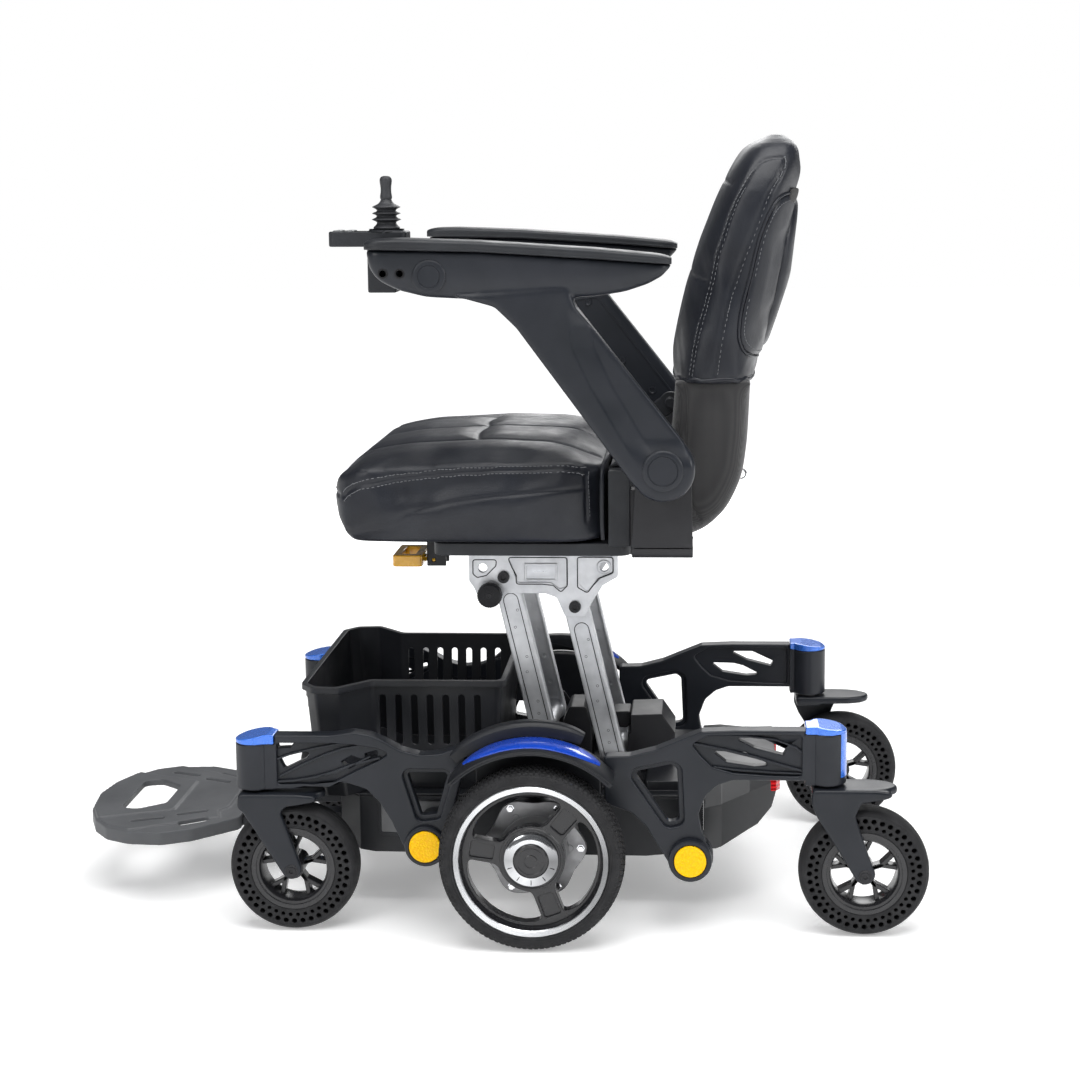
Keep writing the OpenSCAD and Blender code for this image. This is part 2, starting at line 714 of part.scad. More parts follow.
// Fork whose swivel axis is at the origin; top is the crown's upper face
module fork(top) {
  translate([0, trail, caster_r]) {
    across(22, 32) fork_leg_side();
    rod_x(6, -23.5, 23, [0, 0]);
    rod_x(9, -25.5, -23, [0, 0]);
    rod_x(9, 31, 34, [0, 0]);
  }
  translate([0, 0, top - 16]) linear_extrude(16) soft(7) {
    translate([-24, -22]) square([56, 82]);
    translate([4, 58]) scale([28, 40]) circle(r = 1, $fn = 48);
  }
  translate([0, 0, top]) cylinder(r = 18, h = 2.7);
  translate([0, 0, top]) cylinder(r = stem_r, h = 54);
  block(22, 32, -20, 36, 178, top - 8);
}

module fork_left(y, top) from_axle() translate([swivel_x, y, 0]) fork(top);
module fork_front_left() color("#26282c") fork_left(front_swivel_y, front_crown_z);
module fork_rear_left() color("#26282c") fork_left(rear_swivel_y, rear_crown_z);
module fork_front_right() color("#26282c") mirror([1, 0, 0]) fork_left(front_swivel_y, front_crown_z);
module fork_rear_right() color("#26282c") mirror([1, 0, 0]) fork_left(rear_swivel_y, rear_crown_z);

// Solid foam tyre and its spoked rim, spinning about X through the origin
module caster_wheel() {
  rotate([0, 90, 0]) rotate_extrude() polygon([[58.1, -19], [66, -22], [80, -22], [87, -16],
    [caster_r, -6], [caster_r, 6], [87, 16], [80, 22], [66, 22], [58.1, 19]]);
  difference() {
    union() {
      ring_x(46, 58, -17, 17, [0, 0]);
      rod_x(15, -20.8, 21, [0, 0]);
      across(-5, 5) intersection() {
        circle(r = 54);
        for (a = [18 : 72 : 306]) rotate(a) {
          translate([10, -3.5]) square([24, 7]);
          for (b = [-24, 24]) translate([32, 0]) rotate(b)
            translate([-1, -3]) square([28, 6]);
        }
      }
    }
    rod_x(6 + run, -22, 22, [0, 0]);
  }
}

module caster_left(y) from_axle() translate([swivel_x, y + trail, caster_r]) caster_wheel();
module caster_front_left() color("#2a2b2d") caster_left(front_swivel_y);
module caster_rear_left() color("#2a2b2d") caster_left(rear_swivel_y);
module caster_front_right() color("#2a2b2d") mirror([1, 0, 0]) caster_left(front_swivel_y);
module caster_rear_right() color("#2a2b2d") mirror([1, 0, 0]) caster_left(rear_swivel_y);

// ---------- drive wheels ----------

module drive_tyre() from_axle() translate([drive_x, 0, drive_r]) rotate([0, 90, 0])
  rotate_extrude() polygon([[drive_seat_r, -drive_w / 2 + 3], [110, -drive_w / 2],
    [118, -drive_w / 2], [124, -drive_w / 2 + 6], [drive_r, -9], [drive_r, 9],
    [124, drive_w / 2 - 6], [118, drive_w / 2], [110, drive_w / 2], [drive_seat_r, drive_w / 2 - 3]]);

module drive_rim() from_axle() translate([0, 0, drive_r]) {
  ring_x(97, drive_seat_r, drive_x - 22, drive_x + 20, [0, 0]);
  rod_x(37, 262, 303, [0, 0]);
  rod_x(12, 230, 262.5, [0, 0]);
  difference() {
    across(288, 302) intersection() {
      circle(r = 101);
      for (a = spoke_dirs) rotate(a)
        polygon([[20, -18], [110, -12], [110, 12], [20, 18]]);
    }
    across(299, 304) for (a = spoke_dirs) rotate(a)
      polygon([[52, -9], [88, -6], [88, 6], [52, 9]]);
  }
}

module hub_cap() from_axle() {
  rod_x(37, 303, 308, [0, drive_r]);
  rod_x(23, 307.5, 311, [0, drive_r]);
}

module drive_tyre_left() color("#1a1a1b") drive_tyre();
module drive_rim_left() color("#3a3c40") drive_rim();
module hub_cap_left() color("#d8dadd") hub_cap();
module drive_tyre_right() color("#1a1a1b") mirror([1, 0, 0]) drive_tyre();
module drive_rim_right() color("#3a3c40") mirror([1, 0, 0]) drive_rim();
module hub_cap_right() color("#d8dadd") mirror([1, 0, 0]) hub_cap();

// ---------- drawing ----------

chassis_tub();
chassis_cover();
rear_shroud();
tail_lights();
batteries();
gearmotors();
rear_arm_left();
rear_arm_right();
rear_reflectors();
fenders();
blue_trims();
basket();
lift_base();
lift_gearmotor();
front_arm_left();
front_cap_left();
front_reflector_left();
front_arm_right();
front_cap_right();
front_reflector_right();
front_struts();
rear_struts();
carriage();
carriage_bolts();
pull_knob();
swivel_plate();
seat_frame();
seat_cushion();
arm_brackets();
seat_lever();
back_shell();
back_cushion();
back_pocket();
arm_left();
arm_pad_left();
arm_right();
arm_pad_right();
joystick_pod();
joystick_gimbal();
joystick_stick();
joystick_boot();
button_power();
button_horn();
button_faster();
button_slower();
footplate();
fork_front_left();
fork_front_right();
fork_rear_left();
fork_rear_right();
caster_front_left();
caster_front_right();
caster_rear_left();
caster_rear_right();
drive_tyre_left();
drive_rim_left();
hub_cap_left();
drive_tyre_right();
drive_rim_right();
hub_cap_right();
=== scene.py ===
import json
import math

import bmesh
import bpy
from mathutils import Matrix, Vector
from mathutils.bvhtree import BVHTree
from mathutils.kdtree import KDTree


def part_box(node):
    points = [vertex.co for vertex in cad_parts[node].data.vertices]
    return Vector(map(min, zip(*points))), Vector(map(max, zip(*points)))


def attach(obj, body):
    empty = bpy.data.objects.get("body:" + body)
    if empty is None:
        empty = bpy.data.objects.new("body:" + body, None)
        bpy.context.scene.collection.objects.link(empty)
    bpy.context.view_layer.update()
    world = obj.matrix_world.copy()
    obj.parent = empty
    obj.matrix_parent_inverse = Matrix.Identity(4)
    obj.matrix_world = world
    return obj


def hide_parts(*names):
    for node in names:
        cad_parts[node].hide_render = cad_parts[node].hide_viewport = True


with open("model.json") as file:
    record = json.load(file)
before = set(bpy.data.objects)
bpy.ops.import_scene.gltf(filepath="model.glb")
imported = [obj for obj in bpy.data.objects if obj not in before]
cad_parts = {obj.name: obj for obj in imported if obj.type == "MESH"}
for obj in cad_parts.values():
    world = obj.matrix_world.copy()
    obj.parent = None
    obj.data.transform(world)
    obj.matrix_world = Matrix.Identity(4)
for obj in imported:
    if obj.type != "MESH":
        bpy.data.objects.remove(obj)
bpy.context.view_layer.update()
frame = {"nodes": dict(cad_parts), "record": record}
nodes = frame["nodes"]
record = frame["record"]
BODY = {n: b for b, names in record["behaviour"]["bodies"].items() for n in names}
SLOT = {s["node"]: s["material_slot"] for s in record["subparts"]}
MM = 0.001
# Meshes with fewer faces than this get flat-looking flats; denser ones are cast or soft
HARD_LIMIT = 16000
tyre_lo, tyre_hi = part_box("drive_tyre_left")
AXLE = (tyre_lo + tyre_hi) / 2


def at(x, y, z):
    """A point from millimetres, with Y measured from the drive axle."""
    return Vector((x * MM, AXLE.y + y * MM, z * MM))


def flat(points):
    """Side-view points (Y from the axle, Z) from millimetres to metres."""
    return [(AXLE.y + y * MM, z * MM) for y, z in points]


# ---------- materials ----------


class Paint:
    """A node material built on one Principled shader."""

    def __init__(self, name, rough=0.5, metallic=0.0, coat=0.0, coat_rough=0.05, sheen=0.0, gloss=0.34):
        self.mat = bpy.data.materials.new(name)
        self.mat.use_nodes = True
        self.tree = self.mat.node_tree
        self.shader = self.tree.nodes["Principled BSDF"]
        self.where = self.node("ShaderNodeTexCoord").outputs["Object"]
        self.normal = None
        self.set("Roughness", rough)
        self.set("Metallic", metallic)
        self.set("Coat Weight", coat)
        self.set("Coat Roughness", coat_rough)
        self.set("Sheen Weight", sheen)
        self.set("Specular IOR Level", gloss)

    def node(self, kind, **props):
        made = self.tree.nodes.new(kind)
        for key, value in props.items():
            setattr(made, key, value)
        return made

    def link(self, out, socket):
        self.tree.links.new(out, socket)

    def set(self, socket, value):
        self.shader.inputs[socket].default_value = value

    def placed(self, stretch, centre=None):
        moved = self.node("ShaderNodeMapping")
        moved.inputs["Scale"].default_value = stretch
        if centre is not None:
            moved.inputs["Location"].default_value = [-c * s for c, s in zip(centre, stretch)]
        self.link(self.where, moved.inputs["Vector"])
        return moved.outputs["Vector"]

    def noise(self, scale, detail=3.0, stretch=(1, 1, 1), rough=0.55):
        tex = self.node("ShaderNodeTexNoise")
        tex.inputs["Scale"].default_value = scale
        tex.inputs["Detail"].default_value = detail
        tex.inputs["Roughness"].default_value = rough
        self.link(self.placed(stretch), tex.inputs["Vector"])
        return tex.outputs["Fac"]

    def cells(self, scale, feature="F1", stretch=(1, 1, 1)):
        tex = self.node("ShaderNodeTexVoronoi", feature=feature)
        tex.inputs["Scale"].default_value = scale
        self.link(self.placed(stretch), tex.inputs["Vector"])
        return tex.outputs["Distance"]

    def wave(self, scale, direction="X", kind="BANDS", centre=None, distort=0.0):
        tex = self.node("ShaderNodeTexWave", wave_type=kind)
        setattr(tex, "bands_direction" if kind == "BANDS" else "rings_direction", direction)
        tex.inputs["Scale"].default_value = scale
        tex.inputs["Distortion"].default_value = distort
        self.link(self.placed((1, 1, 1), centre), tex.inputs["Vector"])
        return tex.outputs["Fac"]

    def ramp(self, fac, stops):
        made = self.node("ShaderNodeValToRGB")
        made.color_ramp.elements[0].position = stops[0][0]
        made.color_ramp.elements[0].color = (*stops[0][1], 1)
        made.color_ramp.elements[1].position = stops[-1][0]
        made.color_ramp.elements[1].color = (*stops[-1][1], 1)
        for place, colour in stops[1:-1]:
            made.color_ramp.elements.new(place).color = (*colour, 1)
        self.link(fac, made.inputs["Fac"])
        return made.outputs["Color"]

    def colour(self, fac, stops):
        self.link(self.ramp(fac, stops), self.shader.inputs["Base Color"])
        return self

    def rough(self, fac, low, high, start=0.3, end=0.7):
        span = self.node("ShaderNodeMapRange")
        span.inputs["From Min"].default_value = start
        span.inputs["From Max"].default_value = end
        span.inputs["To Min"].default_value = low
        span.inputs["To Max"].default_value = high
        self.link(fac, span.inputs["Value"])
        self.link(span.outputs["Result"], self.shader.inputs["Roughness"])
        return self

    def bump(self, fac, mm, strength=1.0, invert=False):
        made = self.node("ShaderNodeBump", invert=invert)
        made.inputs["Strength"].default_value = strength
        made.inputs["Distance"].default_value = mm * MM
        self.link(fac, made.inputs["Height"])
        if self.normal is not None:
            self.link(self.normal, made.inputs["Normal"])
        self.normal = made.outputs["Normal"]
        self.link(self.normal, self.shader.inputs["Normal"])
        return self


def moulded(name, dark, light, low, high, grain=1100, depth=0.05, coat=0.0):
    """Satin moulded plastic or powder coat: cloudy tone, fine texture and faint flow marks."""
    p = Paint(name, coat=coat, coat_rough=0.25)
    p.colour(p.noise(9, 4), [(0.3, dark), (0.7, light)])
    p.rough(p.noise(22, 5), low, high)
    p.bump(p.noise(14, 2), 0.35, 0.35)
    p.bump(p.noise(grain, 2), depth)
    return p.mat


def metal(name, dark, light, low, high, grain, depth, stretch=(1, 1, 1), metallic=1.0):
    p = Paint(name, metallic=metallic)
    p.colour(p.noise(35, 5), [(0.3, dark), (0.7, light)])
    p.rough(p.noise(60, 5, stretch), low, high)
    p.bump(p.noise(grain, 4, stretch), depth)
    return p.mat


def vinyl():
    p = Paint("vinyl", coat=0.08, coat_rough=0.3, sheen=0.02)
    p.colour(p.noise(14, 5), [(0.3, (0.006, 0.007, 0.011)), (0.7, (0.011, 0.013, 0.019))])
    p.rough(p.noise(38, 5), 0.34, 0.5)
    p.bump(p.noise(26, 4), 1.1, 0.5)
    p.bump(p.cells(620, "SMOOTH_F1"), 0.16, 0.9)
    p.bump(p.noise(1500, 2), 0.03)
    return p.mat


def woven():
    p = Paint("woven_fabric", rough=0.85, sheen=0.35)
    weft = p.wave(210, "X")
    warp = p.wave(210, "Z")
    deep = p.wave(210, "Y")
    both = p.node("ShaderNodeMath", operation="MULTIPLY")
    p.link(weft, both.inputs[0])
    p.link(warp, both.inputs[1])
    three = p.node("ShaderNodeMath", operation="ADD")
    p.link(both.outputs[0], three.inputs[0])
    p.link(deep, three.inputs[1])
    p.colour(three.outputs[0], [(0.2, (0.008, 0.008, 0.009)), (1.0, (0.036, 0.035, 0.036))])
    p.bump(three.outputs[0], 0.35, 0.9)
    p.bump(p.noise(30, 4), 0.8, 0.4)
    return p.mat


def foam_rubber(name, dark, light, low, high):
    p = Paint(name)
    p.colour(p.noise(18, 6), [(0.3, dark), (0.7, light)])
    p.rough(p.noise(45, 5), low, high)
    p.bump(p.cells(520), 0.08, 0.7)
    p.bump(p.noise(900, 3), 0.08)
    return p.mat


def blue_paint(name, dark, light):
    p = Paint(name, rough=0.3, metallic=0.25, coat=1.0, coat_rough=0.03)
    p.colour(p.noise(2600, 2), [(0.35, dark), (0.65, light)])
    p.rough(p.noise(30, 4), 0.22, 0.34)
    p.bump(p.noise(70, 3), 0.05, 0.4)
    return p.mat


def reflector():
    p = Paint("reflector_yellow", rough=0.3, coat=0.12, coat_rough=0.08, gloss=0.15)
    cell = p.cells(330)
    p.colour(cell, [(0.0, (1.0, 0.64, 0.0)), (0.75, (0.96, 0.5, 0.0))])
    p.bump(cell, 0.5, 0.8)
    p.rough(p.noise(80, 3), 0.2, 0.32)
    return p.mat


def lens_red():
    p = Paint("lens_red", rough=0.12, coat=1.0, coat_rough=0.03)
    flutes = p.wave(55, "Z")
    p.colour(flutes, [(0.1, (0.35, 0.002, 0.004)), (0.9, (0.8, 0.015, 0.02))])
    p.bump(flutes, 0.7, 0.8)
    p.rough(p.noise(90, 3), 0.08, 0.2)
    return p.mat


def amber():
    p = Paint("amber_plastic", rough=0.25, coat=0.6, coat_rough=0.1)
    p.set("Subsurface Weight", 0.15)
    p.set("Subsurface Radius", (0.01, 0.006, 0.001))
    p.colour(p.noise(30, 4), [(0.3, (0.66, 0.33, 0.012)), (0.7, (0.83, 0.46, 0.03))])
    p.rough(p.noise(60, 4), 0.2, 0.36)
    p.bump(p.noise(700, 2), 0.04)
    return p.mat


def turned(name, centre, tone, low, high):
    """Metal turned on a lathe: fine rings about the wheel's axle, and a painted highlight whose tone rises and falls in
    sweeps round the axle.
    """
    p = Paint(name, metallic=1.0)
    rings = p.wave(120, "X", "RINGS", centre, 1.5)
    parts = p.node("ShaderNodeSeparateXYZ")
    p.link(p.placed((1, 1, 1), centre), parts.inputs["Vector"])
    plane = p.node("ShaderNodeCombineXYZ")
    p.link(parts.outputs["Y"], plane.inputs["X"])
    p.link(parts.outputs["Z"], plane.inputs["Y"])
    # painted highlight: the base colour brightens and darkens round the axle, as light catches turned metal
    glint_sweep = p.node("ShaderNodeTexGradient", gradient_type="RADIAL")
    p.link(plane.outputs["Vector"], glint_sweep.inputs["Vector"])
    glint_levels = (0.5, 0.85, 1.0, 0.7, 0.35, 0.25, 0.55, 0.9, 1.0, 0.8, 0.5)
    p.colour(glint_sweep.outputs["Fac"], [(i / 10, [c * k for c in tone]) for i, k in enumerate(glint_levels)])
    p.rough(rings, low, high, 0.0, 1.0)
    p.bump(rings, 0.02, 0.5)
    return p.mat


def shroud_paint():
    p = Paint("shroud_grey", coat=0.2, coat_rough=0.3)
    p.colour(p.noise(8, 4), [(0.3, (0.036, 0.037, 0.039)), (0.7, (0.054, 0.055, 0.058))])
    p.rough(p.noise(25, 5), 0.32, 0.44)
    p.bump(p.noise(1300, 2), 0.04)
    return p.mat


def tyre_rubber(name, dark, light):
    p = Paint(name)
    p.colour(p.noise(40, 6), [(0.25, dark), (0.75, light)])
    p.rough(p.noise(70, 5), 0.6, 0.85)
    p.bump(p.noise(260, 5), 0.2, 0.8)
    return p.mat


M = {
    "frame_plastic": moulded("charcoal_plastic", (0.009, 0.010, 0.012), (0.016, 0.017, 0.021), 0.34, 0.48),
    "shroud": shroud_paint(),
    "arm_casting": moulded("satin_black_casting", (0.009, 0.011, 0.015), (0.016, 0.018, 0.024), 0.32, 0.44, 1400, 0.04),
    "blue_gloss": blue_paint("blue_gloss", (0.004, 0.045, 0.42), (0.012, 0.10, 0.78)),
    "reflector": reflector(),
    "tail_red": lens_red(),
    "battery": moulded("battery_case", (0.11, 0.112, 0.116), (0.16, 0.163, 0.168), 0.4, 0.55),
    "motor": metal("die_cast_grey", (0.30, 0.30, 0.31), (0.42, 0.42, 0.43), 0.42, 0.6, 500, 0.1, (1, 1, 1), 0.8),
    "cast_silver": metal("cast_silver", (0.52, 0.53, 0.55), (0.68, 0.69, 0.71), 0.36, 0.52, 700, 0.07, (1, 1, 1), 0.75),
    "black_steel": moulded("powder_coated_steel", (0.012, 0.012, 0.014), (0.02, 0.02, 0.023), 0.38, 0.52, 420, 0.07),
    "leather": vinyl(),
    "shell_fabric": woven(),
    "soft_plastic": foam_rubber("soft_pad_plastic", (0.013, 0.014, 0.017), (0.021, 0.023, 0.027), 0.4, 0.54),
    "rubber": foam_rubber("boot_rubber", (0.02, 0.021, 0.023), (0.032, 0.033, 0.037), 0.45, 0.6),
    "amber": amber(),
    "tyre": tyre_rubber("tyre_rubber", (0.010, 0.010, 0.011), (0.022, 0.022, 0.024)),
    "rim": moulded("gloss_black_rim", (0.009, 0.009, 0.011), (0.016, 0.016, 0.018), 0.2, 0.34, 1200, 0.02, 0.5),
    "chrome": metal("chrome", (0.78, 0.79, 0.81), (0.86, 0.87, 0.89), 0.05, 0.14, 300, 0.01),
    "button_grey": moulded("button_grey", (0.14, 0.145, 0.15), (0.19, 0.195, 0.2), 0.4, 0.5),
}
M["blue_cap"] = blue_paint("blue_cap", (0.02, 0.13, 0.60), (0.05, 0.22, 0.86))
M["machined"] = turned("machined_rim", AXLE, (0.78, 0.79, 0.81), 0.2, 0.36)
M["spun_hub"] = turned("spun_hub", AXLE, (0.72, 0.73, 0.75), 0.1, 0.2)
M["step_grey"] = moulded("footplate_grey", (0.075, 0.078, 0.083), (0.105, 0.108, 0.114), 0.46, 0.6, 900, 0.06)
M["thread"] = moulded("sewing_thread", (0.10, 0.103, 0.11), (0.17, 0.175, 0.185), 0.6, 0.8, 2200, 0.1)
# near-black for painted shade: beads, dots, plugs and linings put in notches, pocket edges and holes
M["shadow"] = moulded("painted_recess_shade", (0.004, 0.004, 0.005), (0.008, 0.008, 0.009), 0.6, 0.8)
M["brushed"] = metal("brushed_inset", (0.42, 0.43, 0.45), (0.56, 0.57, 0.6), 0.25, 0.5, 900, 0.08, (1, 0.05, 1))
M["elastic"] = moulded("elastic_band", (0.035, 0.034, 0.034), (0.06, 0.058, 0.057), 0.7, 0.85, 600, 0.25)


# ---------- mesh helpers ----------


def smoothstep(a, b, x):
    t = min(1.0, max(0.0, (x - a) / (b - a)))
    return t * t * (3 - 2 * t)


def made(name, mesh, angle=32):
    mesh.shade_smooth()
    mesh.set_sharp_from_angle(angle=math.radians(angle))
    obj = bpy.data.objects.new(name, mesh)
    bpy.context.scene.collection.objects.link(obj)
    return obj


def from_bm(name, bm, angle=32):
    mesh = bpy.data.meshes.new(name)
    bm.to_mesh(mesh)
    bm.free()
    return made(name, mesh, angle)


def from_lists(name, verts, faces, angle=32):
    mesh = bpy.data.meshes.new(name)
    mesh.from_pydata([tuple(v) for v in verts], [], faces)
    mesh.update()
    return made(name, mesh, angle)


def evaluated(obj):
    graph = bpy.context.evaluated_depsgraph_get()
    return bpy.data.meshes.new_from_object(obj.evaluated_get(graph))


def baked(obj, angle=32):
    """Applies the modifiers."""
    mesh = evaluated(obj)
    obj.modifiers.clear()
    obj.data = mesh
    mesh.shade_smooth()
    mesh.set_sharp_from_angle(angle=math.radians(angle))
    return obj


def piece(obj, body, slot, nodes_replaced=(), mat=None):
    if len(obj.data.polygons) < HARD_LIMIT:
        mod = obj.modifiers.new("normals", "WEIGHTED_NORMAL")
        mod.keep_sharp = True
        mod.weight = 80
        obj.data = evaluated(obj)
        obj.modifiers.clear()
    obj.data.materials.clear()
    obj.data.materials.append(M[mat or slot])
    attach(obj, body)
    if nodes_replaced:
        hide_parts(*nodes_replaced)
    return obj


def mirrored(obj, name):
    """A copy on the other side of the object, before either rides on a body."""
    mesh = obj.data.copy()
    mesh.transform(Matrix.Scale(-1, 4, (1, 0, 0)))
    mesh.flip_normals()
    other = bpy.data.objects.new(name, mesh)
    bpy.context.scene.collection.objects.link(other)
    return other


def joined(name, objs):
    """One mesh object from several."""
    bm = bmesh.new()
    for obj in objs:
        bm.from_mesh(obj.data)
        bpy.data.objects.remove(obj)
    return from_bm(name, bm)


def shifted(obj, move):
    obj.data.transform(Matrix.Translation(move))
    return obj


def refine(node, width=1.0, segments=2, name=None, only=None, angle=32):
    """The CAD shape with rounded edges. only picks loose parts by a test on their corner points."""
    bm = bmesh.new()
    bm.from_mesh(nodes[node].data)
    bmesh.ops.remove_doubles(bm, verts=bm.verts, dist=2e-5)
    if only is not None:
        drop = [v for part in islands(bm) if not only(part) for v in part]
        bmesh.ops.delete(bm, geom=drop, context="VERTS")
    bmesh.ops.dissolve_limit(bm, angle_limit=math.radians(1.5), verts=bm.verts, edges=bm.edges)
    obj = from_bm(name or node + "_body", bm, 180 if width > 0 else angle)
    if width > 0:
        bevel = obj.modifiers.new("edges", "BEVEL")
        bevel.width = width * MM
        bevel.segments = segments
        bevel.limit_method = "ANGLE"
        bevel.angle_limit = math.radians(angle)
        bevel.use_clamp_overlap = False
        bevel.miter_outer = "MITER_ARC"
        tree = surface_of(obj)
        baked(obj, 42)
        # a corner that the bevel threw off the shape goes back onto it
        for v in obj.data.vertices:
            spot, _, _, far = tree.find_nearest(v.co)
            if far > 2 * width * MM:
                v.co = spot
    return obj


def islands(bm):
    """The loose parts of a mesh as lists of vertices."""
    seen = set()
    parts = []
    for start in bm.verts:
        if start in seen:
            continue
        seen.add(start)
        part = [start]
        for v in part:
            for e in v.link_edges:
                o = e.other_vert(v)
                if o not in seen:
                    seen.add(o)
                    part.append(o)
        parts.append(part)
    return parts


def polished(node, width=1.0, mat=None, segments=2):
    """Stands a refined copy in for one CAD node."""
    return piece(refine(node, width, segments), BODY[node], SLOT[node], [node], mat)


def loops_at(node, axis, value):
    """Boundary loops of a CAD node's flat face across an axis, as points on the other two axes, largest first."""
    a, b = [i for i in range(3) if i != axis]
    bm = bmesh.new()
    bm.from_mesh(nodes[node].data)
    bmesh.ops.remove_doubles(bm, verts=bm.verts, dist=2e-5)
    chosen = {f for f in bm.faces if all(abs(v.co[axis] - value) < 2e-5 for v in f.verts)}
    follow = {}
    for f in chosen:
        for loop in f.loops:
            if sum(g in chosen for g in loop.edge.link_faces) == 1:
                follow[loop.vert] = loop.link_loop_next.vert
    found = []
    while follow:
        start, v = follow.popitem()
        ring = [start]
        while v in follow:
            ring.append(v)
            v = follow.pop(v)
        found.append([(p.co[a], p.co[b]) for p in ring])
    bm.free()
    found.sort(key=lambda ring: -abs(area(ring)))
    return found


def area(ring):
    return sum(p[0] * q[1] - q[0] * p[1] for p, q in zip(ring, ring[1:] + ring[:1])) / 2


def middle(ring):
    return sum(p[0] for p in ring) / len(ring), sum(p[1] for p in ring) / len(ring)


def soft(ring, radius, steps=5):
    """Rounds every corner of an outline. radius is in millimetres, the outline in metres."""
    r = radius * MM
    out = []
    count = len(ring)
    for i in range(count):
        p = Vector(ring[i])
        a = Vector(ring[i - 1]) - p
        b = Vector(ring[(i + 1) % count]) - p
        bend = a.angle(b)
        cut = min(r / max(math.tan(bend / 2), 0.05), 0.48 * a.length, 0.48 * b.length)
        s = p + a.normalized() * cut
        e = p + b.normalized() * cut
        for k in range(steps + 1):
            t = k / steps
            out.append(tuple(s * (1 - t) ** 2 + p * 2 * t * (1 - t) + e * t * t))
    return out


def grown(ring, distance):
    """An outline moved outwards by millimetres along its own normals."""
    side = 1 if area(ring) > 0 else -1
    out = []
    for i, p in enumerate(ring):
        a = Vector(p) - Vector(ring[i - 1])
        b = Vector(ring[(i + 1) % len(ring)]) - Vector(p)
        n = a.normalized() + b.normalized()
        if n.length < 1e-6:
            n = a
        n = Vector((n.y, -n.x)).normalized() * side * distance * MM
        out.append((p[0] + n.x, p[1] + n.y))
    return out


def disc(cy, cz, r, steps=24, start=0.0):
    """A circle as an outline, from millimetres."""
    pts = []
    for k in range(steps):
        a = start + 2 * math.pi * k / steps
        pts.append((cy + r * math.cos(a), cz + r * math.sin(a)))
    return flat(pts)


def moulding(name, rings, x0, x1, bevel=1.0, axis="x", steps=2):
    """A plate between x0 and x1 (millimetres) with rounded edges, from its outline and its holes."""
    curve = bpy.data.curves.new(name, "CURVE")
    curve.dimensions = "2D"
    curve.fill_mode = "BOTH"
    for ring in rings:
        spline = curve.splines.new("POLY")
        spline.points.add(len(ring) - 1)
        for point, p in zip(spline.points, ring):
            point.co = (p[0], p[1], 0, 1)
        spline.use_cyclic_u = True
    b = bevel * MM
    curve.extrude = (x1 - x0) * MM / 2 - b
    curve.bevel_depth = b
    curve.bevel_resolution = steps
    curve.offset = -b
    obj = bpy.data.objects.new(name, curve)
    bpy.context.scene.collection.objects.link(obj)
    graph = bpy.context.evaluated_depsgraph_get()
    mesh = bpy.data.meshes.new_from_object(obj.evaluated_get(graph))
    bpy.data.objects.remove(obj)
    mid = (x0 + x1) * MM / 2
    if axis == "x":
        turn = Matrix(((0, 0, 1, mid), (1, 0, 0, 0), (0, 1, 0, 0), (0, 0, 0, 1)))
    else:
        turn = Matrix.Translation((0, 0, mid))
    mesh.transform(turn)
    bm = bmesh.new()
    bm.from_mesh(mesh)
    bpy.data.meshes.remove(mesh)
    bmesh.ops.remove_doubles(bm, verts=bm.verts, dist=1e-6)
    bmesh.ops.dissolve_limit(bm, angle_limit=0.004, verts=bm.verts, edges=bm.edges)
    return from_bm(name, bm)


def strip(points, width):
    """An outline of constant width about a line of side-view points in millimetres."""
    left = []
    right = []
    for i, p in enumerate(points):
        a = Vector(points[max(i - 1, 0)])
        b = Vector(points[min(i + 1, len(points) - 1)])
        d = (b - a).normalized()
        n = Vector((-d.y, d.x)) * width / 2
        left.append((p[0] + n.x, p[1] + n.y))
        right.append((p[0] - n.x, p[1] - n.y))
    return flat(left + right[::-1])


def curved(points, steps=6, closed=False):
    """Points on a smooth curve through the given ones."""
    pts = [Vector(p) for p in points]
    count = len(pts)
    out = []
    for i in range(count if closed else count - 1):
        p0 = pts[(i - 1) % count] if closed or i > 0 else pts[0]
        p1 = pts[i]
        p2 = pts[(i + 1) % count]
        p3 = pts[(i + 2) % count] if closed or i + 2 < count else pts[-1]
        for k in range(steps):
            t = k / steps
            a = 2 * p1 + (p2 - p0) * t
            b = (2 * p0 - 5 * p1 + 4 * p2 - p3) * t * t
            c = (3 * p1 - p0 - 3 * p2 + p3) * t ** 3
            out.append((a + b + c) / 2)
    if not closed:
        out.append(pts[-1])
    return out


def wire(name, points, radius, closed=False, flatten=1.0):
    """A round bead along 3-D points in metres; radius in millimetres."""
    curve = bpy.data.curves.new(name, "CURVE")
    curve.dimensions = "3D"
    curve.bevel_depth = radius * MM
    curve.bevel_resolution = 3
    curve.use_fill_caps = True
    spline = curve.splines.new("POLY")
    spline.points.add(len(points) - 1)
    for point, p in zip(spline.points, points):
        point.co = (*p, 1)
    spline.use_cyclic_u = closed
    obj = bpy.data.objects.new(name, curve)
    bpy.context.scene.collection.objects.link(obj)
    graph = bpy.context.evaluated_depsgraph_get()
    mesh = bpy.data.meshes.new_from_object(obj.evaluated_get(graph))
    bpy.data.objects.remove(obj)
    return made(name, mesh, 60)


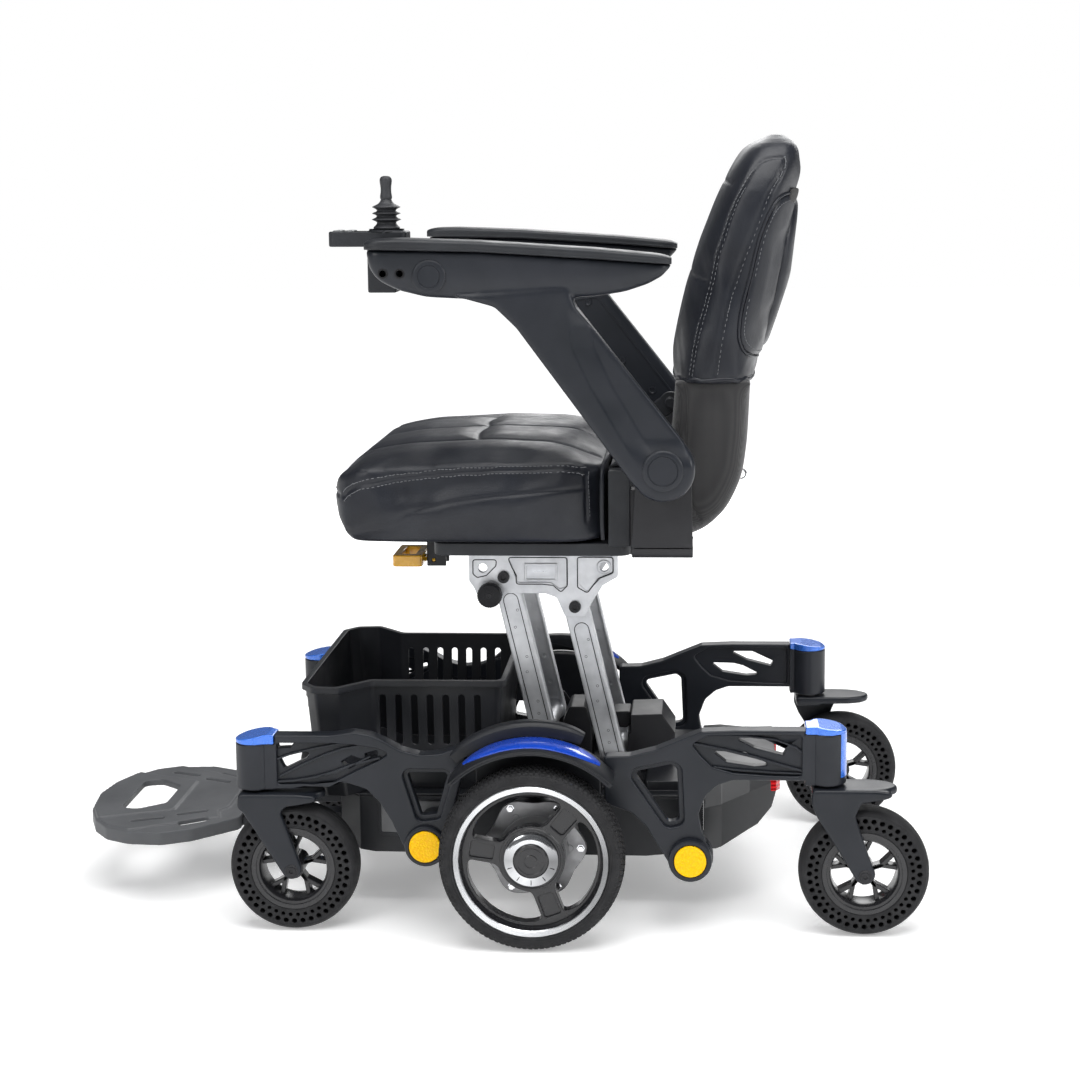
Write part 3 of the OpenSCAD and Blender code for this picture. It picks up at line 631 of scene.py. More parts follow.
def lathe(name, profile, centre, segments=96, axis="x", closed=False):
    """Turns a profile of (along, radius) in millimetres about an axis through centre."""
    verts = []
    faces = []
    n = len(profile)
    for k in range(segments):
        a = 2 * math.pi * k / segments
        for along, r in profile:
            if axis == "x":
                v = Vector((along, r * math.cos(a), r * math.sin(a)))
            else:
                v = Vector((r * math.cos(a), r * math.sin(a), along))
            verts.append(centre + v * MM)
    for k in range(segments):
        m = (k + 1) % segments
        for i in range(n if closed else n - 1):
            j = (i + 1) % n
            faces.append((k * n + i, k * n + j, m * n + j, m * n + i))
    mesh = bpy.data.meshes.new(name)
    mesh.from_pydata([tuple(v) for v in verts], [], faces)
    bm = bmesh.new()
    bm.from_mesh(mesh)
    bpy.data.meshes.remove(mesh)
    bmesh.ops.remove_doubles(bm, verts=bm.verts, dist=1e-6)
    bmesh.ops.recalc_face_normals(bm, faces=bm.faces)
    return from_bm(name, bm, 28)


def loft(name, rings, angle=50):
    """A closed skin over rings of points."""
    n = len(rings[0])
    verts = [p for ring in rings for p in ring]
    faces = []
    for r in range(len(rings) - 1):
        for i in range(n):
            j = (i + 1) % n
            faces.append((r * n + i, r * n + j, (r + 1) * n + j, (r + 1) * n + i))
    faces.append(tuple(range(n))[::-1])
    faces.append(tuple((len(rings) - 1) * n + i for i in range(n)))
    mesh = bpy.data.meshes.new(name)
    mesh.from_pydata([tuple(v) for v in verts], [], faces)
    bm = bmesh.new()
    bm.from_mesh(mesh)
    bpy.data.meshes.remove(mesh)
    bmesh.ops.recalc_face_normals(bm, faces=bm.faces)
    return from_bm(name, bm, angle)


def cut(obj, tool):
    """Takes one closed shape out of another."""
    mod = obj.modifiers.new("cut", "BOOLEAN")
    mod.operation = "DIFFERENCE"
    mod.solver = "EXACT"
    mod.object = tool
    baked(obj)
    bpy.data.objects.remove(tool)
    return obj


# ---------- soft pieces ----------


def smooth(obj, times, factor=0.5, keep=None):
    """Relaxes a mesh. keep(co) is true where a point stays."""
    bm = bmesh.new()
    bm.from_mesh(obj.data)
    moving = [v for v in bm.verts if keep is None or not keep(v.co)]
    for _ in range(times):
        bmesh.ops.smooth_vert(bm, verts=moving, factor=factor, use_axis_x=True, use_axis_y=True, use_axis_z=True)
    bm.to_mesh(obj.data)
    bm.free()


def remeshed(obj, voxel):
    mod = obj.modifiers.new("voxels", "REMESH")
    mod.mode = "VOXEL"
    mod.voxel_size = voxel * MM
    return baked(obj, 80)


def puffed(obj, pressure, cap, held, steps=20):
    """Inflates a pad with Cloth. held(co) is true where it rests on something; cap is in millimetres."""
    group = obj.vertex_groups.new(name="held")
    group.add([v.index for v in obj.data.vertices if held(v.co)], 1.0, "REPLACE")
    rest = [v.co.copy() for v in obj.data.vertices]
    mod = obj.modifiers.new("cloth", "CLOTH")
    mod.settings.quality = 5
    mod.settings.mass = 0.3
    mod.settings.tension_stiffness = 12
    mod.settings.compression_stiffness = 12
    mod.settings.bending_stiffness = 0.8
    mod.settings.use_pressure = True
    mod.settings.uniform_pressure_force = pressure
    mod.settings.effector_weights.gravity = 0
    mod.settings.vertex_group_mass = "held"
    scene = bpy.context.scene
    for f in range(1, steps + 1):
        scene.frame_set(f)
    graph = bpy.context.evaluated_depsgraph_get()
    swollen = obj.evaluated_get(graph).data
    moves = []
    for w, r in zip(swollen.vertices, rest):
        move = w.co - r
        moves.append(move * min(1.0, cap * MM / max(move.length, 1e-6)))
    calm = list(moves)
    near = [[] for _ in calm]
    for e in obj.data.edges:
        near[e.vertices[0]].append(e.vertices[1])
        near[e.vertices[1]].append(e.vertices[0])
    for _ in range(14):
        calm = [sum((calm[k] for k in ks), calm[i].copy()) / (len(ks) + 1) for i, ks in enumerate(near)]
    # the creases of the sheet are kept only as a trace on the even swell
    for v, r, move, even in zip(obj.data.vertices, rest, moves, calm):
        v.co = r + even.lerp(move, 0.14)
    obj.modifiers.clear()
    scene.frame_set(1)
    return obj


def cast(name, objs, voxel=1.8, times=6):
    """One casting from overlapping shapes, with its edges and inner corners rounded."""
    obj = joined(name, objs)
    remeshed(obj, voxel)
    smooth(obj, times)
    return obj


def fitted(obj, lo, hi):
    """Stretches a mesh to fill a box."""
    pts = [v.co for v in obj.data.vertices]
    a = [min(p[i] for p in pts) for i in range(3)]
    b = [max(p[i] for p in pts) for i in range(3)]
    for v in obj.data.vertices:
        v.co = [lo[i] + (v.co[i] - a[i]) * (hi[i] - lo[i]) / (b[i] - a[i]) for i in range(3)]
    return obj


def surface_of(obj):
    bm = bmesh.new()
    bm.from_mesh(obj.data)
    tree = BVHTree.FromBMesh(bm)
    bm.free()
    return tree


def laid(tree, points, step=2.0):
    """The points dropped on the nearest surface, evenly spaced, each with the surface's normal."""
    out = []
    for a, b in zip(points, points[1:]):
        parts = max(1, round((Vector(b) - Vector(a)).length / (step * MM)))
        for k in range(parts):
            spot, normal, _, _ = tree.find_nearest(Vector(a).lerp(Vector(b), k / parts))
            out.append((spot, normal))
    return out


def groove(obj, lines, width, depth):
    """Presses sewn lines into a dense mesh; width and depth in millimetres."""
    tree = surface_of(obj)
    spots = [s for line in lines for s, _ in laid(tree, line)]
    near = KDTree(len(spots))
    for i, s in enumerate(spots):
        near.insert(s, i)
    near.balance()
    normals = [v.normal.copy() for v in obj.data.vertices]
    for v, n in zip(obj.data.vertices, normals):
        d = near.find(v.co)[2] / (width * MM)
        if d < 3:
            v.co -= n * depth * MM * math.exp(-d * d)
    obj.data.update()


def stitches(name, obj, line, pitch=6.0, length=4.0, radius=0.45, lift=0.1):
    """A row of thread along a line on a surface."""
    spots = laid(surface_of(obj), line, pitch)
    bm = bmesh.new()
    for (a, n), (b, _) in zip(spots, spots[1:]):
        d = b - a
        if d.length < 1e-5:
            continue
        d.normalize()
        side = d.cross(n).normalized()
        up = side.cross(d)
        start = a + up * lift * MM
        rows = []
        for t, s in ((0, 0.3), (0.15, 0.9), (0.5, 1.15), (0.85, 0.9), (1, 0.3)):
            c = start + d * t * length * MM - up * (0.25 if t in (0, 1) else 0.0) * MM
            ring = []
            for k in range(6):
                q = 2 * math.pi * k / 6
                ring.append(bm.verts.new(c + (side * math.cos(q) + up * math.sin(q)) * radius * s * MM))
            rows.append(ring)
        for r0, r1 in zip(rows, rows[1:]):
            for k in range(6):
                bm.faces.new((r0[k], r0[k - 1], r1[k - 1], r1[k]))
        bm.faces.new(rows[0])
        bm.faces.new(rows[-1][::-1])
    bmesh.ops.recalc_face_normals(bm, faces=bm.faces)
    return from_bm(name, bm, 80)


def denser(obj, levels=1):
    mod = obj.modifiers.new("finer", "SUBSURF")
    mod.levels = levels
    mod.render_levels = levels
    return baked(obj, 80)


# ---------- side arms ----------

FRONT_BOSS = middle(flat([(-151, 126)]))
REAR_BOSS = middle(flat([(214, 110)]))


def both(tag_pieces):
    """Rides each left piece and its mirror image. Each entry is (object, body, slot, node, material)."""
    for obj, body, slot, node, mat in tag_pieces:
        other = mirrored(obj, obj.name.replace("_left", "_right"))
        names = (body, body.replace("_left", "_right"))
        for o, b, n in ((obj, names[0], node), (other, names[1], node and node.replace("_left", "_right"))):
            piece(o, b, slot, [n] if n else (), mat)


def boss(name, centre, x0, x1, r, lens):
    """A turned boss with a rim round its reflector seat."""
    c = Vector((0, centre[0], centre[1]))
    seat = x1 - 2
    profile = [(x0, 0), (x0, r - 2), (x0 + 2, r), (x1 - 2.5, r), (x1 - 0.8, r - 0.8), (x1, r - 2.5),
               (x1, lens + 1.2), (x1 - 0.5, lens + 0.6), (seat, lens + 0.5), (seat, 0)]
    return lathe(name, profile, c, 72)


def lens_disc(name, centre, x0, x1, r):
    c = Vector((0, centre[0], centre[1]))
    profile = [(x0 - 2, 0), (x0 - 2, r), (x1 - 1, r), (x1 - 0.2, r - 0.6), (x1, r - 1.6), (x1 - 0.3, r - 2.4), (x1 - 0.3, 0)]
    return lathe(name, profile, c, 64)


def housing(name, y, z0, z1, toward, r=27):
    """The upright round housing of a caster stem, running into its arm."""
    cx, cy = 228.0, y
    pts = []
    dx0 = 21.0
    dx1 = -14.0
    a0 = math.atan2(math.sqrt(r * r - dx0 * dx0), dx0)
    a1 = math.atan2(math.sqrt(r * r - dx1 * dx1), dx1)
    turn = 2 * math.pi - a1 + a0
    pts.append((249, cy + toward * 30))
    for k in range(29):
        a = a0 - turn * k / 28
        pts.append((cx + r * math.cos(a), cy + toward * r * math.sin(a)))
    pts.append((214, cy + toward * 30))
    ring = [(x * MM, AXLE.y + v * MM) for x, v in pts]
    return moulding(name, [ring], z0, z1, 2.5, "z")


def front_arms():
    node = "front_arm_left"
    rings = loops_at(node, 0, 0.250)
    outer = rings[0]
    window = min(rings[1:], key=lambda ring: abs(middle(ring)[0] - flat([(-147, 0)])[0][0]))
    pocket = soft(flat([(-355, 270), (-275, 270), (-247, 268), (-215, 263), (-199, 256), (-214, 246),
                        (-246, 231), (-284, 211), (-321, 212), (-355, 211)]), 5)
    leg = soft(flat([(-262, 201), (-240, 203), (-216, 196), (-203, 176), (-216, 186), (-240, 194)]), 2)
    skin = moulding("front_arm_skin_left", [outer, grown(window, 6.5), pocket], 226, 250, 2.6, steps=3)
    web = moulding("front_arm_web_left", [grown(outer, -1.5)] + [soft(r, 9, 7) for r in rings[1:]], 229, 243, 1.6)
    ribs = [
        strip([(-367, 242), (-337, 253.5), (-303, 262), (-262, 270)], 2.6),
        strip([(-352, 222), (-320, 239), (-290, 252.5), (-264, 261.5), (-236, 267)], 3.2),
        strip([(-296, 223), (-273, 228), (-252, 238), (-226, 251)], 2.6),
        strip([(-366, 213.5), (-331, 216), (-303, 221), (-278, 228.5), (-252, 239), (-212, 249)], 3.4),
    ]
    parts = [skin, web, housing("front_house", -389, 203, 268, 1)]
    parts += [moulding("rib", [ring], 240, 247.5, 1.0) for ring in ribs]
    arm = joined("front_arm_shell_left", parts)
    both([
        (arm, "front_arm_left", "arm_casting", node, None),
        (boss("front_boss_left", FRONT_BOSS, 222, 256, 29, 22.5), "front_arm_left", "arm_casting", node, None),
        (lens_disc("front_lens_left", FRONT_BOSS, 256, 258.5, 22), "front_arm_left", "reflector", "front_reflector_left", None),
    ])


def rear_arms():
    node = "rear_arm_left"
    rings = loops_at(node, 0, 0.250)
    outer = rings[0]
    window = min(rings[1:], key=lambda ring: abs(middle(ring)[0] - flat([(180, 0)])[0][0]))
    pocket = soft(flat([(216, 272), (238, 284.5), (350, 286), (366, 285.5), (366, 228), (327, 228.5),
                        (274, 232), (244, 240.5), (229, 255)]), 5)
    skin = moulding("rear_arm_skin", [outer, grown(window, 6.5), pocket], 226, 250, 2.6, steps=3)
    web = moulding("rear_arm_web", [grown(outer, -1.5)] + [soft(r, 9, 7) for r in rings[1:]], 229, 243, 1.6)
    ribs = [
        strip([(214, 273.5), (263, 263.5), (304, 253.5), (345, 241), (372, 234)], 3.4),
        strip([(240, 284), (290, 283.5), (330, 279), (358, 268), (373, 256)], 2.6),
        strip([(246, 240), (274, 236), (327, 232.5), (373, 231)], 2.6),
    ]
    parts = [skin, web, housing("rear_house", 401, 215, 287, -1)]
    parts += [moulding("rib", [ring], 240, 247.5, 1.0) for ring in ribs]
    arm = joined("rear_arm_shell_left", parts)
    other = mirrored(arm, "rear_arm_shell_right")
    piece(arm, "base", "arm_casting", ["rear_arm_left"])
    piece(other, "base", "arm_casting", ["rear_arm_right"])
    end = boss("rear_boss_left", REAR_BOSS, 218, 260, 30, 22.5)
    lens = lens_disc("rear_lens_left", REAR_BOSS, 260, 262.5, 22)
    ends = joined("rear_bosses", [mirrored(end, "e"), end])
    piece(ends, "base", "arm_casting", ["rear_arm_left", "rear_arm_right"])
    lenses = joined("rear_lenses", [mirrored(lens, "l"), lens])
    piece(lenses, "base", "reflector", ["rear_reflectors"])
    # blue strip down the back of each rear housing
    pts = []
    for k in range(7):
        a = math.radians(78 - 6 * k)
        pts.append((228 + 27.4 * math.cos(a), 401 + 27.4 * math.sin(a)))
    for k in range(7):
        a = math.radians(42 + 6 * k)
        pts.append((228 + 26.2 * math.cos(a), 401 + 26.2 * math.sin(a)))
    ring = [(x * MM, AXLE.y + y * MM) for x, y in pts]
    band = moulding("rear_stripe_left", [ring], 226, 288, 0.4, "z")
    bands = joined("rear_stripes", [mirrored(band, "b"), band])
    piece(bands, "base", "blue_gloss", (), "blue_cap")


def flatter(cap, keep=0.62):
    """Lowers the dome of a cap."""
    low = min(v.co.z for v in cap.data.vertices)
    for v in cap.data.vertices:
        v.co.z = low + (v.co.z - low) * keep
    return cap


front_arms()
rear_arms()
for side in ("left", "right"):
    cap = flatter(cast("front_cap_body_" + side, [refine("front_cap_" + side, 0)], 1.1, 4))
    piece(cap, "front_arm_" + side, "blue_gloss", ["front_cap_" + side], "blue_cap")


# ---------- fenders and trims ----------


def arc_sheet(name, r0, r1, x0, x1, half_angle, crown, taper, lean=0, steps=48, across=14):
    """A crowned strip round the top of the drive wheel, narrowing to its ends by taper."""
    top = []
    low = []
    c = Vector((0, AXLE.y, AXLE.z))
    mid = (x0 + x1) / 2
    for i in range(steps + 1):
        t = -1 + 2 * i / steps
        a = math.radians(half_angle * t + lean)
        half = (x1 - x0) / 2 * (1 - taper * abs(t) ** 5)
        for j in range(across + 1):
            s = -1 + 2 * j / across
            lift = (1 - abs(s) ** 4) * crown * (1 - 0.6 * abs(t) ** 6)
            x = mid + half * s
            for rows, r in ((top, r1 - crown + lift), (low, r0)):
                rows.append(c + Vector((x, r * math.sin(a), r * math.cos(a))) * MM)
    w = across + 1
    n = len(top)
    faces = []
    for i in range(steps):
        for j in range(across):
            q = i * w + j
            faces.append((q, q + 1, q + w + 1, q + w))
            faces.append((n + q, n + q + w, n + q + w + 1, n + q + 1))
    edge = [j for j in range(across)] + [across + i * w for i in range(steps)]
    edge += [steps * w + across - j for j in range(across)] + [(steps - i) * w for i in range(steps)]
    for k, q in enumerate(edge):
        m = edge[(k + 1) % len(edge)]
        faces.append((q, m, n + m, n + q))
    mesh = bpy.data.meshes.new(name)
    mesh.from_pydata([tuple(v) for v in top + low], [], faces)
    bm = bmesh.new()
    bm.from_mesh(mesh)
    bpy.data.meshes.remove(mesh)
    bmesh.ops.recalc_face_normals(bm, faces=bm.faces)
    return from_bm(name, bm, 50)


def fenders():
    plate = moulding("fender_plate", [soft(loops_at("fenders", 0, 0.252)[0], 14)], 226.6, 251.4, 2.2)
    arc = arc_sheet("fender_arc", 148, 157.5, 251, 314, 46, 4, 0.1)
    lip = wire("fender_lip", [at(313, 149.6 * math.sin(a / 40), 127 + 149.6 * math.cos(a / 40))
                              for a in range(-31, 32)], 1.8)
    post = refine("fenders", 1.5, 2, "posts", lambda part: min(abs(v.co.x) for v in part) < 0.14)
    left = joined("fender_left", [plate, arc, lip])
    right = mirrored(left, "fender_right")
    piece(left, "base", "frame_plastic", ["fenders"])
    piece(right, "base", "frame_plastic", ["fenders"])
    if len(post.data.vertices):
        keep_posts(post)


def keep_posts(post):
    """Only the inner ends of the fender node: the bridge to the tub."""
    bm = bmesh.new()
    bm.from_mesh(post.data)
    wall = [f for f in bm.faces if abs(f.calc_center_median().x) > 0.2245 and abs(f.normal.x) > 0.7]
    bmesh.ops.delete(bm, geom=wall, context="FACES")
    far = [v for v in bm.verts if abs(v.co.x) > 0.2275]
    bmesh.ops.delete(bm, geom=far, context="VERTS")
    bm.to_mesh(post.data)
    bm.free()
    piece(post, "base", "frame_plastic", ["fenders"])


fenders()
ridge = arc_sheet("fender_ridge_left", 158, 177, 232, 257, 33, 6, 0.35, -9)
piece(joined("fender_ridges", [mirrored(ridge, "r"), ridge]), "base", "frame_plastic", ())
trim = arc_sheet("fender_trim_left", 156, 160.8, 260, 307, 36, 3.4, 0.75)
trims = joined("fender_trims", [mirrored(trim, "t"), trim])
piece(trims, "base", "blue_gloss", ["blue_trims"])
caps = refine("blue_trims", 0, 1, "rear_caps", lambda part: min(v.co.y for v in part) > AXLE.y + 0.3)
caps = flatter(cast("rear_cap_bodies", [caps], 1.1, 4))
piece(caps, "base", "blue_gloss", ["blue_trims"], "blue_cap")


# ---------- drive wheels ----------


def tread(rows, centre, mid):
    """Blocks of tread on the tyre. A row is (x, radius of top, tilt, half width, half length, height, count, phase)."""
    bm = bmesh.new()
    for x, r, tilt, hx, ht, h, count, phase in rows:
        for k in range(count):
            a = 2 * math.pi * (k + phase) / count
            er = Vector((0, math.cos(a), math.sin(a)))
            et = Vector((0, -math.sin(a), math.cos(a)))
            ex = Vector((1, 0, 0))
            up = er * math.cos(tilt) + ex * math.sin(tilt)
            out = ex * math.cos(tilt) - er * math.sin(tilt)
            top = centre + ex * (mid + x) * MM + er * r * MM
            levels = []
            for down, grow in ((0.0, 0.78), (0.35, 0.95), (h, 1.12)):
                ring = []
                for sx, st in ((-1, -1), (1, -1), (1, 1), (-1, 1)):
                    ring.append(bm.verts.new(top - up * down * MM + out * sx * hx * grow * MM + et * st * ht * grow * MM))
                levels.append(ring)
            bm.faces.new(levels[0])
            for u, v in zip(levels, levels[1:]):
                for i in range(4):
                    bm.faces.new((u[i], u[i - 1], v[i - 1], v[i]))
    bmesh.ops.recalc_face_normals(bm, faces=bm.faces)
    return from_bm("tread", bm, 30)


def drive_wheel():
    c = Vector((0, AXLE.y, AXLE.z))
    mid = AXLE.x / MM
    side = [(-22, 106), (-23.5, 107), (-25, 111), (-25, 115), (-23, 119.5), (-18, 123), (-9, 124.6), (0, 125)]
    profile = side + [(-x, r) for x, r in side[-2::-1]]
    tyre = lathe("tyre", [(mid + x, r) for x, r in profile], c, 144, closed=True)
    rows = []
    for i, x in enumerate((-13.5, -6.75, 0, 6.75, 13.5)):
        top = 127 - 0.013 * x * x * 0.8
        rows.append((x, top - 0.1, math.radians(0.9 * x), 2.5, 2.7, 3.2, 98, 0.5 * (i % 2)))
    for s in (-1, 1):
        rows.append((s * 20.3, 122.6, s * math.radians(42), 2.4, 2.9, 3.2, 98, 0.25))
        rows.append((s * 24.6, 117.4, s * math.radians(72), 1.9, 1.7, 1.6, 98, 0.75))
    knobs = tread(rows, c, mid)
    beads = [lathe("bead", [(mid + s * 25.0, 109.6), (mid + s * 25.5, 110.3), (mid + s * 25.0, 111)], c, 120)
             for s in (-1, 1)]
    both([(joined("drive_tyre_body_left", [tyre, knobs] + beads), "drive_left", "tyre", "drive_tyre_left", None)])

    # rim: barrel, dished disc with three wide spokes, recessed panel in each spoke
    barrel = lathe("barrel", [(270, 98), (270, 106.2), (313.5, 106.2), (313.5, 104.8), (312, 97.5), (306, 94.5),
                              (296, 93.5), (280, 94), (275, 96)], c, 144, closed=True)
    ring = lathe("ring", [(312.2, 96.8), (313.9, 98), (314.6, 104.6), (313.4, 106.1), (311, 106.1), (311, 97.2)],
                 c, 160, closed=True)
    dirs = [math.radians(a) for a in (50, 170, 290)]
    windows = []
    for k, a0 in enumerate(dirs):
        a1 = a0 + math.radians(120)
        pts = []
        for r, backward in ((46, False), (90, True)):
            wide = math.asin(15.5 / r)
            arc = [a0 + wide + (a1 - a0 - 2 * wide) * i / 12 for i in range(13)]
            if backward:
                arc.reverse()
            pts += [(r * math.cos(a), 127 + r * math.sin(a)) for a in arc]
        ring2 = flat(pts)
        windows.append(rounded_window(ring2))
    panels = []
    for a in dirs:
        u = Vector((math.cos(a), math.sin(a)))
        v = Vector((-u.y, u.x))
        corners = [u * 52 - v * 10.5, u * 84 - v * 11.5, u * 84 + v * 11.5, u * 52 + v * 10.5]
        panels.append(soft(flat([(p.x, 127 + p.y) for p in corners]), 3.5))
    edge = disc(0, 127, 95, 96)
    face = moulding("spoke_face", [edge] + windows + panels, 295, 302.5, 1.6, steps=3)
    back = moulding("spoke_back", [edge] + windows, 286, 299, 1.2)
    hub = lathe("hub", [(262, 12), (262, 37), (300, 37), (302.5, 39.5), (303, 41), (303, 43), (301.5, 44.5), (296, 45),
                        (290, 20)], c, 96)
    axle = lathe("axle", [(230, 0), (230, 12), (290, 12)], c, 40)
    rim = joined("drive_rim_body_left", [barrel, face, back, hub, axle])
    cap = lathe("cap", [(302.5, 37.5), (304, 37.4), (306.4, 36.6), (308.6, 32.5), (309.4, 27), (309.0, 24.4),
                        (307.6, 23.6), (307.4, 23)], c, 96)
    # the notches round the cap are thin near-black beads: painted shade in the grooves
    notches = []
    for k in range(5):
        a = math.radians(200 + 35 * k)
        spot = c + Vector((0, 30.5 * math.cos(a), 30.5 * math.sin(a))) * MM
        spot.x = 309.25 * MM
        turn = Vector((0, math.cos(a), math.sin(a)))
        notches.append(wire("notch", [spot - turn * 3.4 * MM, spot + turn * 3.4 * MM], 0.5))
    disc_profile = [(307.4, 23.4), (309.2, 23.2), (310.4, 21.6), (310.6, 19), (310.2, 18.2), (310.6, 17.4), (310.8, 9.5),
                    (310.4, 8.8), (310.8, 8.1), (311, 0)]
    plug = lathe("plug", disc_profile, c, 72)
    marks = joined("hub_marks_left", notches)
    both([
        (rim, "drive_left", "rim", "drive_rim_left", None),
        (ring, "drive_left", "rim", "drive_rim_left", "machined"),
        (cap, "drive_left", "chrome", "hub_cap_left", "spun_hub"),
        (plug, "drive_left", "rim", "hub_cap_left", None),
        (marks, "drive_left", "rim", None, "shadow"),
    ])


def rounded_window(ring):
    """The window between two spokes with its four corners rounded."""
    n = len(ring) // 2
    inner = ring[:n]
    outer = ring[n:]
    pts = inner[2:-2]
    pts += fillet(inner[-2], inner[-1], outer[0], outer[2])
    pts += outer[2:-2]
    pts += fillet(outer[-3], outer[-1], inner[0], inner[2])
    return pts


def fillet(a, p, q, b):
    """Two rounded corners joining a line a-p, p-q, q-b."""
    a, p, q, b = (Vector(v) for v in (a, p, q, b))
    r = min(0.010, (q - p).length * 0.45)
    m0 = p + (q - p).normalized() * r
    m1 = q + (p - q).normalized() * r
    out = []
    for s, c, e in ((a, p, m0), (m1, q, b)):
        for k in range(7):
            t = k / 6
            out.append(tuple(s * (1 - t) ** 2 + c * 2 * t * (1 - t) + e * t * t))
    return out


drive_wheel()


# ---------- casters and forks ----------


def caster_tyre():
    """Foam tyre at the origin: a honeycombed side wall and a rounded tread."""
    c = Vector((0, 0, 0))
    y0 = AXLE.y
    rings = [[(p[0] - y0, p[1]) for p in disc(0, 0, 83, 96)], [(p[0] - y0, p[1]) for p in disc(0, 0, 60, 72)]]
    for r, hole, count, phase in ((75.4, 3.7, 40, 0.0), (66.4, 2.8, 40, 0.5)):
        for k in range(count):
            a = 2 * math.pi * (k + phase) / count
            ring = disc(r * math.cos(a), r * math.sin(a), hole, 10, a)
            rings.append([(p[0] - y0, p[1]) for p in ring])
    walls = []
    for x0, x1 in ((9, 21.6), (-21.6, -9)):
        walls.append(moulding("wall", rings, x0, x1, 0.7))
    outer = [(-21.2, 80.6), (-20.6, 84), (-17.5, 87), (-12, 89), (-5, 89.8), (0, 90)]
    tread_ring = outer + [(-x, r) for x, r in outer[-2::-1]] + [(9.5, 79.5), (9.5, 60), (-9.5, 60), (-9.5, 79.5)]
    body = lathe("core", tread_ring, c, 120, closed=True)
    ribs = [lathe("rib", [(x - 0.9, 88.4), (x - 0.6, 90.0), (x + 0.6, 90.0), (x + 0.9, 88.4)], c, 120)
            for x in (-3.2, 3.2)]
    inner = lathe("bead", [(-19, 58.1), (-21.4, 59.4), (-21.6, 61.6), (-20.6, 62.4), (20.6, 62.4), (21.6, 61.6),
                           (21.4, 59.4), (19, 58.1)], c, 96, closed=True)
    return joined("caster_tyre", walls + [body, inner] + ribs)


def caster_rim():
    """Rim at the origin: stepped ring, hub and five forked spokes."""
    c = Vector((0, 0, 0))
    half = [(0, 45), (9, 45), (16, 46), (18.5, 48), (19, 51.5), (20.2, 52), (20.6, 53.5), (20.6, 58.2), (0, 58.2)]
    ring = lathe("ring", half + [(-x, r) for x, r in half[-2:0:-1]], c, 96, closed=True)
    hub = lathe("hub", [(-21, 7), (-21, 13), (-20, 14.5), (20, 14.5), (21, 13), (21, 7)], c, 48, closed=True)
    spokes = []
    for k in range(5):
        a = math.radians(18 + 72 * k)
        u = Vector((math.cos(a), math.sin(a)))
        for turn in (-26, 26):
            w = Matrix.Rotation(math.radians(turn), 2) @ u
            knee = u * 25
            ring_points = strip([tuple(u * 10), tuple(knee), tuple(knee + w * 24)], 6.4)
            spokes.append(moulding("spoke", [[(y - AXLE.y, z) for y, z in ring_points]], -8, 8, 1.4))
    return joined("caster_rim", [ring, hub] + spokes)


def fork_shape(end):
    """Cast fork of a left caster: crown with a rounded nose, a leg on the outside, stem and axle bolt."""
    lo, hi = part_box(f"fork_{end}_left")
    x = lo.x / MM + 24
    y = (lo.y - AXLE.y) / MM + 22
    top = hi.z / MM - 54
    low = top - 19
    ax = y + 52
    side = [(y - 21, top - 1), (y + 62, top - 1), (y + 84, top - 3), (y + 90, top - 8), (y + 82, top - 13), (y + 60, low + 2),
            (y + 46, low), (ax - 14, 174), (ax - 6, 150), (ax + 13.5, 94), (ax + 12.5, 86), (ax + 7, 79), (ax - 3, 77),
            (ax - 11, 82), (ax - 52, 150), (ax - 66, 172), (y - 22, low - 2)]
    plan = [(-24, -21), (30, -21), (31, 40), (29, 64), (22, 84), (12, 95), (4, 97), (-6, 94), (-16, 84), (-23, 64), (-24, 40)]
    ring = soft([((x + u) * MM, AXLE.y + (y + v) * MM) for u, v in plan], 6)
    crown = moulding("crown", [ring], top - 12, top - 0.6, 3.5, "z", 3)
    leg = moulding("leg", [soft(flat(side), 6)], x + 21, x + 32, 2.5)
    block = moulding("block", [soft([((x + u) * MM, AXLE.y + (y + v) * MM) for u, v in
                                     [(-22, -20), (30, -20), (30, 20), (-22, 20)]], 6)], top - 16, top - 3, 3, "z")
    casting = cast("casting", [crown, leg, block], 1.6, 7)
    c = at(x, y, 0)
    stem = lathe("stem", [(top - 2, 0), (top - 2, 18), (top + 1.8, 18), (top + 2.6, 17.2), (top + 2.6, 8), (top + 54, 8),
                          (top + 54, 0)], c, 40, "z")
    bolt_at = at(0, ax, 90)
    bolt = [(x + 30, 0), (x + 30, 9.4), (x + 32.6, 9.4), (x + 33.2, 8.8), (x + 33.2, 6.6), (x + 32.8, 6.4), (x + 33.9, 6.2),
            (x + 34, 5.6), (x + 34, 3.4), (x + 32.4, 3.0), (x + 32.4, 0)]
    washer = lathe("bolt", bolt, bolt_at, 36)
    pin = lathe("pin", [(x - 25.5, 0), (x - 25.5, 9), (x - 23, 9), (x - 23, 6), (x + 24, 6)], bolt_at, 32)
    return casting, joined("hardware", [stem, washer, pin])


tyre_model = caster_tyre()
rim_model = caster_rim()
for end in ("front", "rear"):
    casting, hardware = fork_shape(end)
    for obj, kind, mat in ((casting, "casting", "arm_casting"), (hardware, "hardware", "black_steel")):
        other = mirrored(obj, f"fork_{end}_right_{kind}")
        obj.name = f"fork_{end}_left_{kind}"
        for o, side in ((obj, "left"), (other, "right")):
            node = f"fork_{end}_{side}"
            piece(o, BODY[node], SLOT[node], [node], mat)
    for side in ("left", "right"):
        name = f"caster_{end}_{side}"
        lo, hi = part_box(name)
        for model, kind, slot in ((tyre_model, "_tyre", "tyre"), (rim_model, "_rim", "rim")):
            mesh = model.data.copy()
            mesh.transform(Matrix.Translation((lo + hi) / 2))
            part = bpy.data.objects.new(name + kind, mesh)
            bpy.context.scene.collection.objects.link(part)
            piece(part, BODY[name], slot, [name])
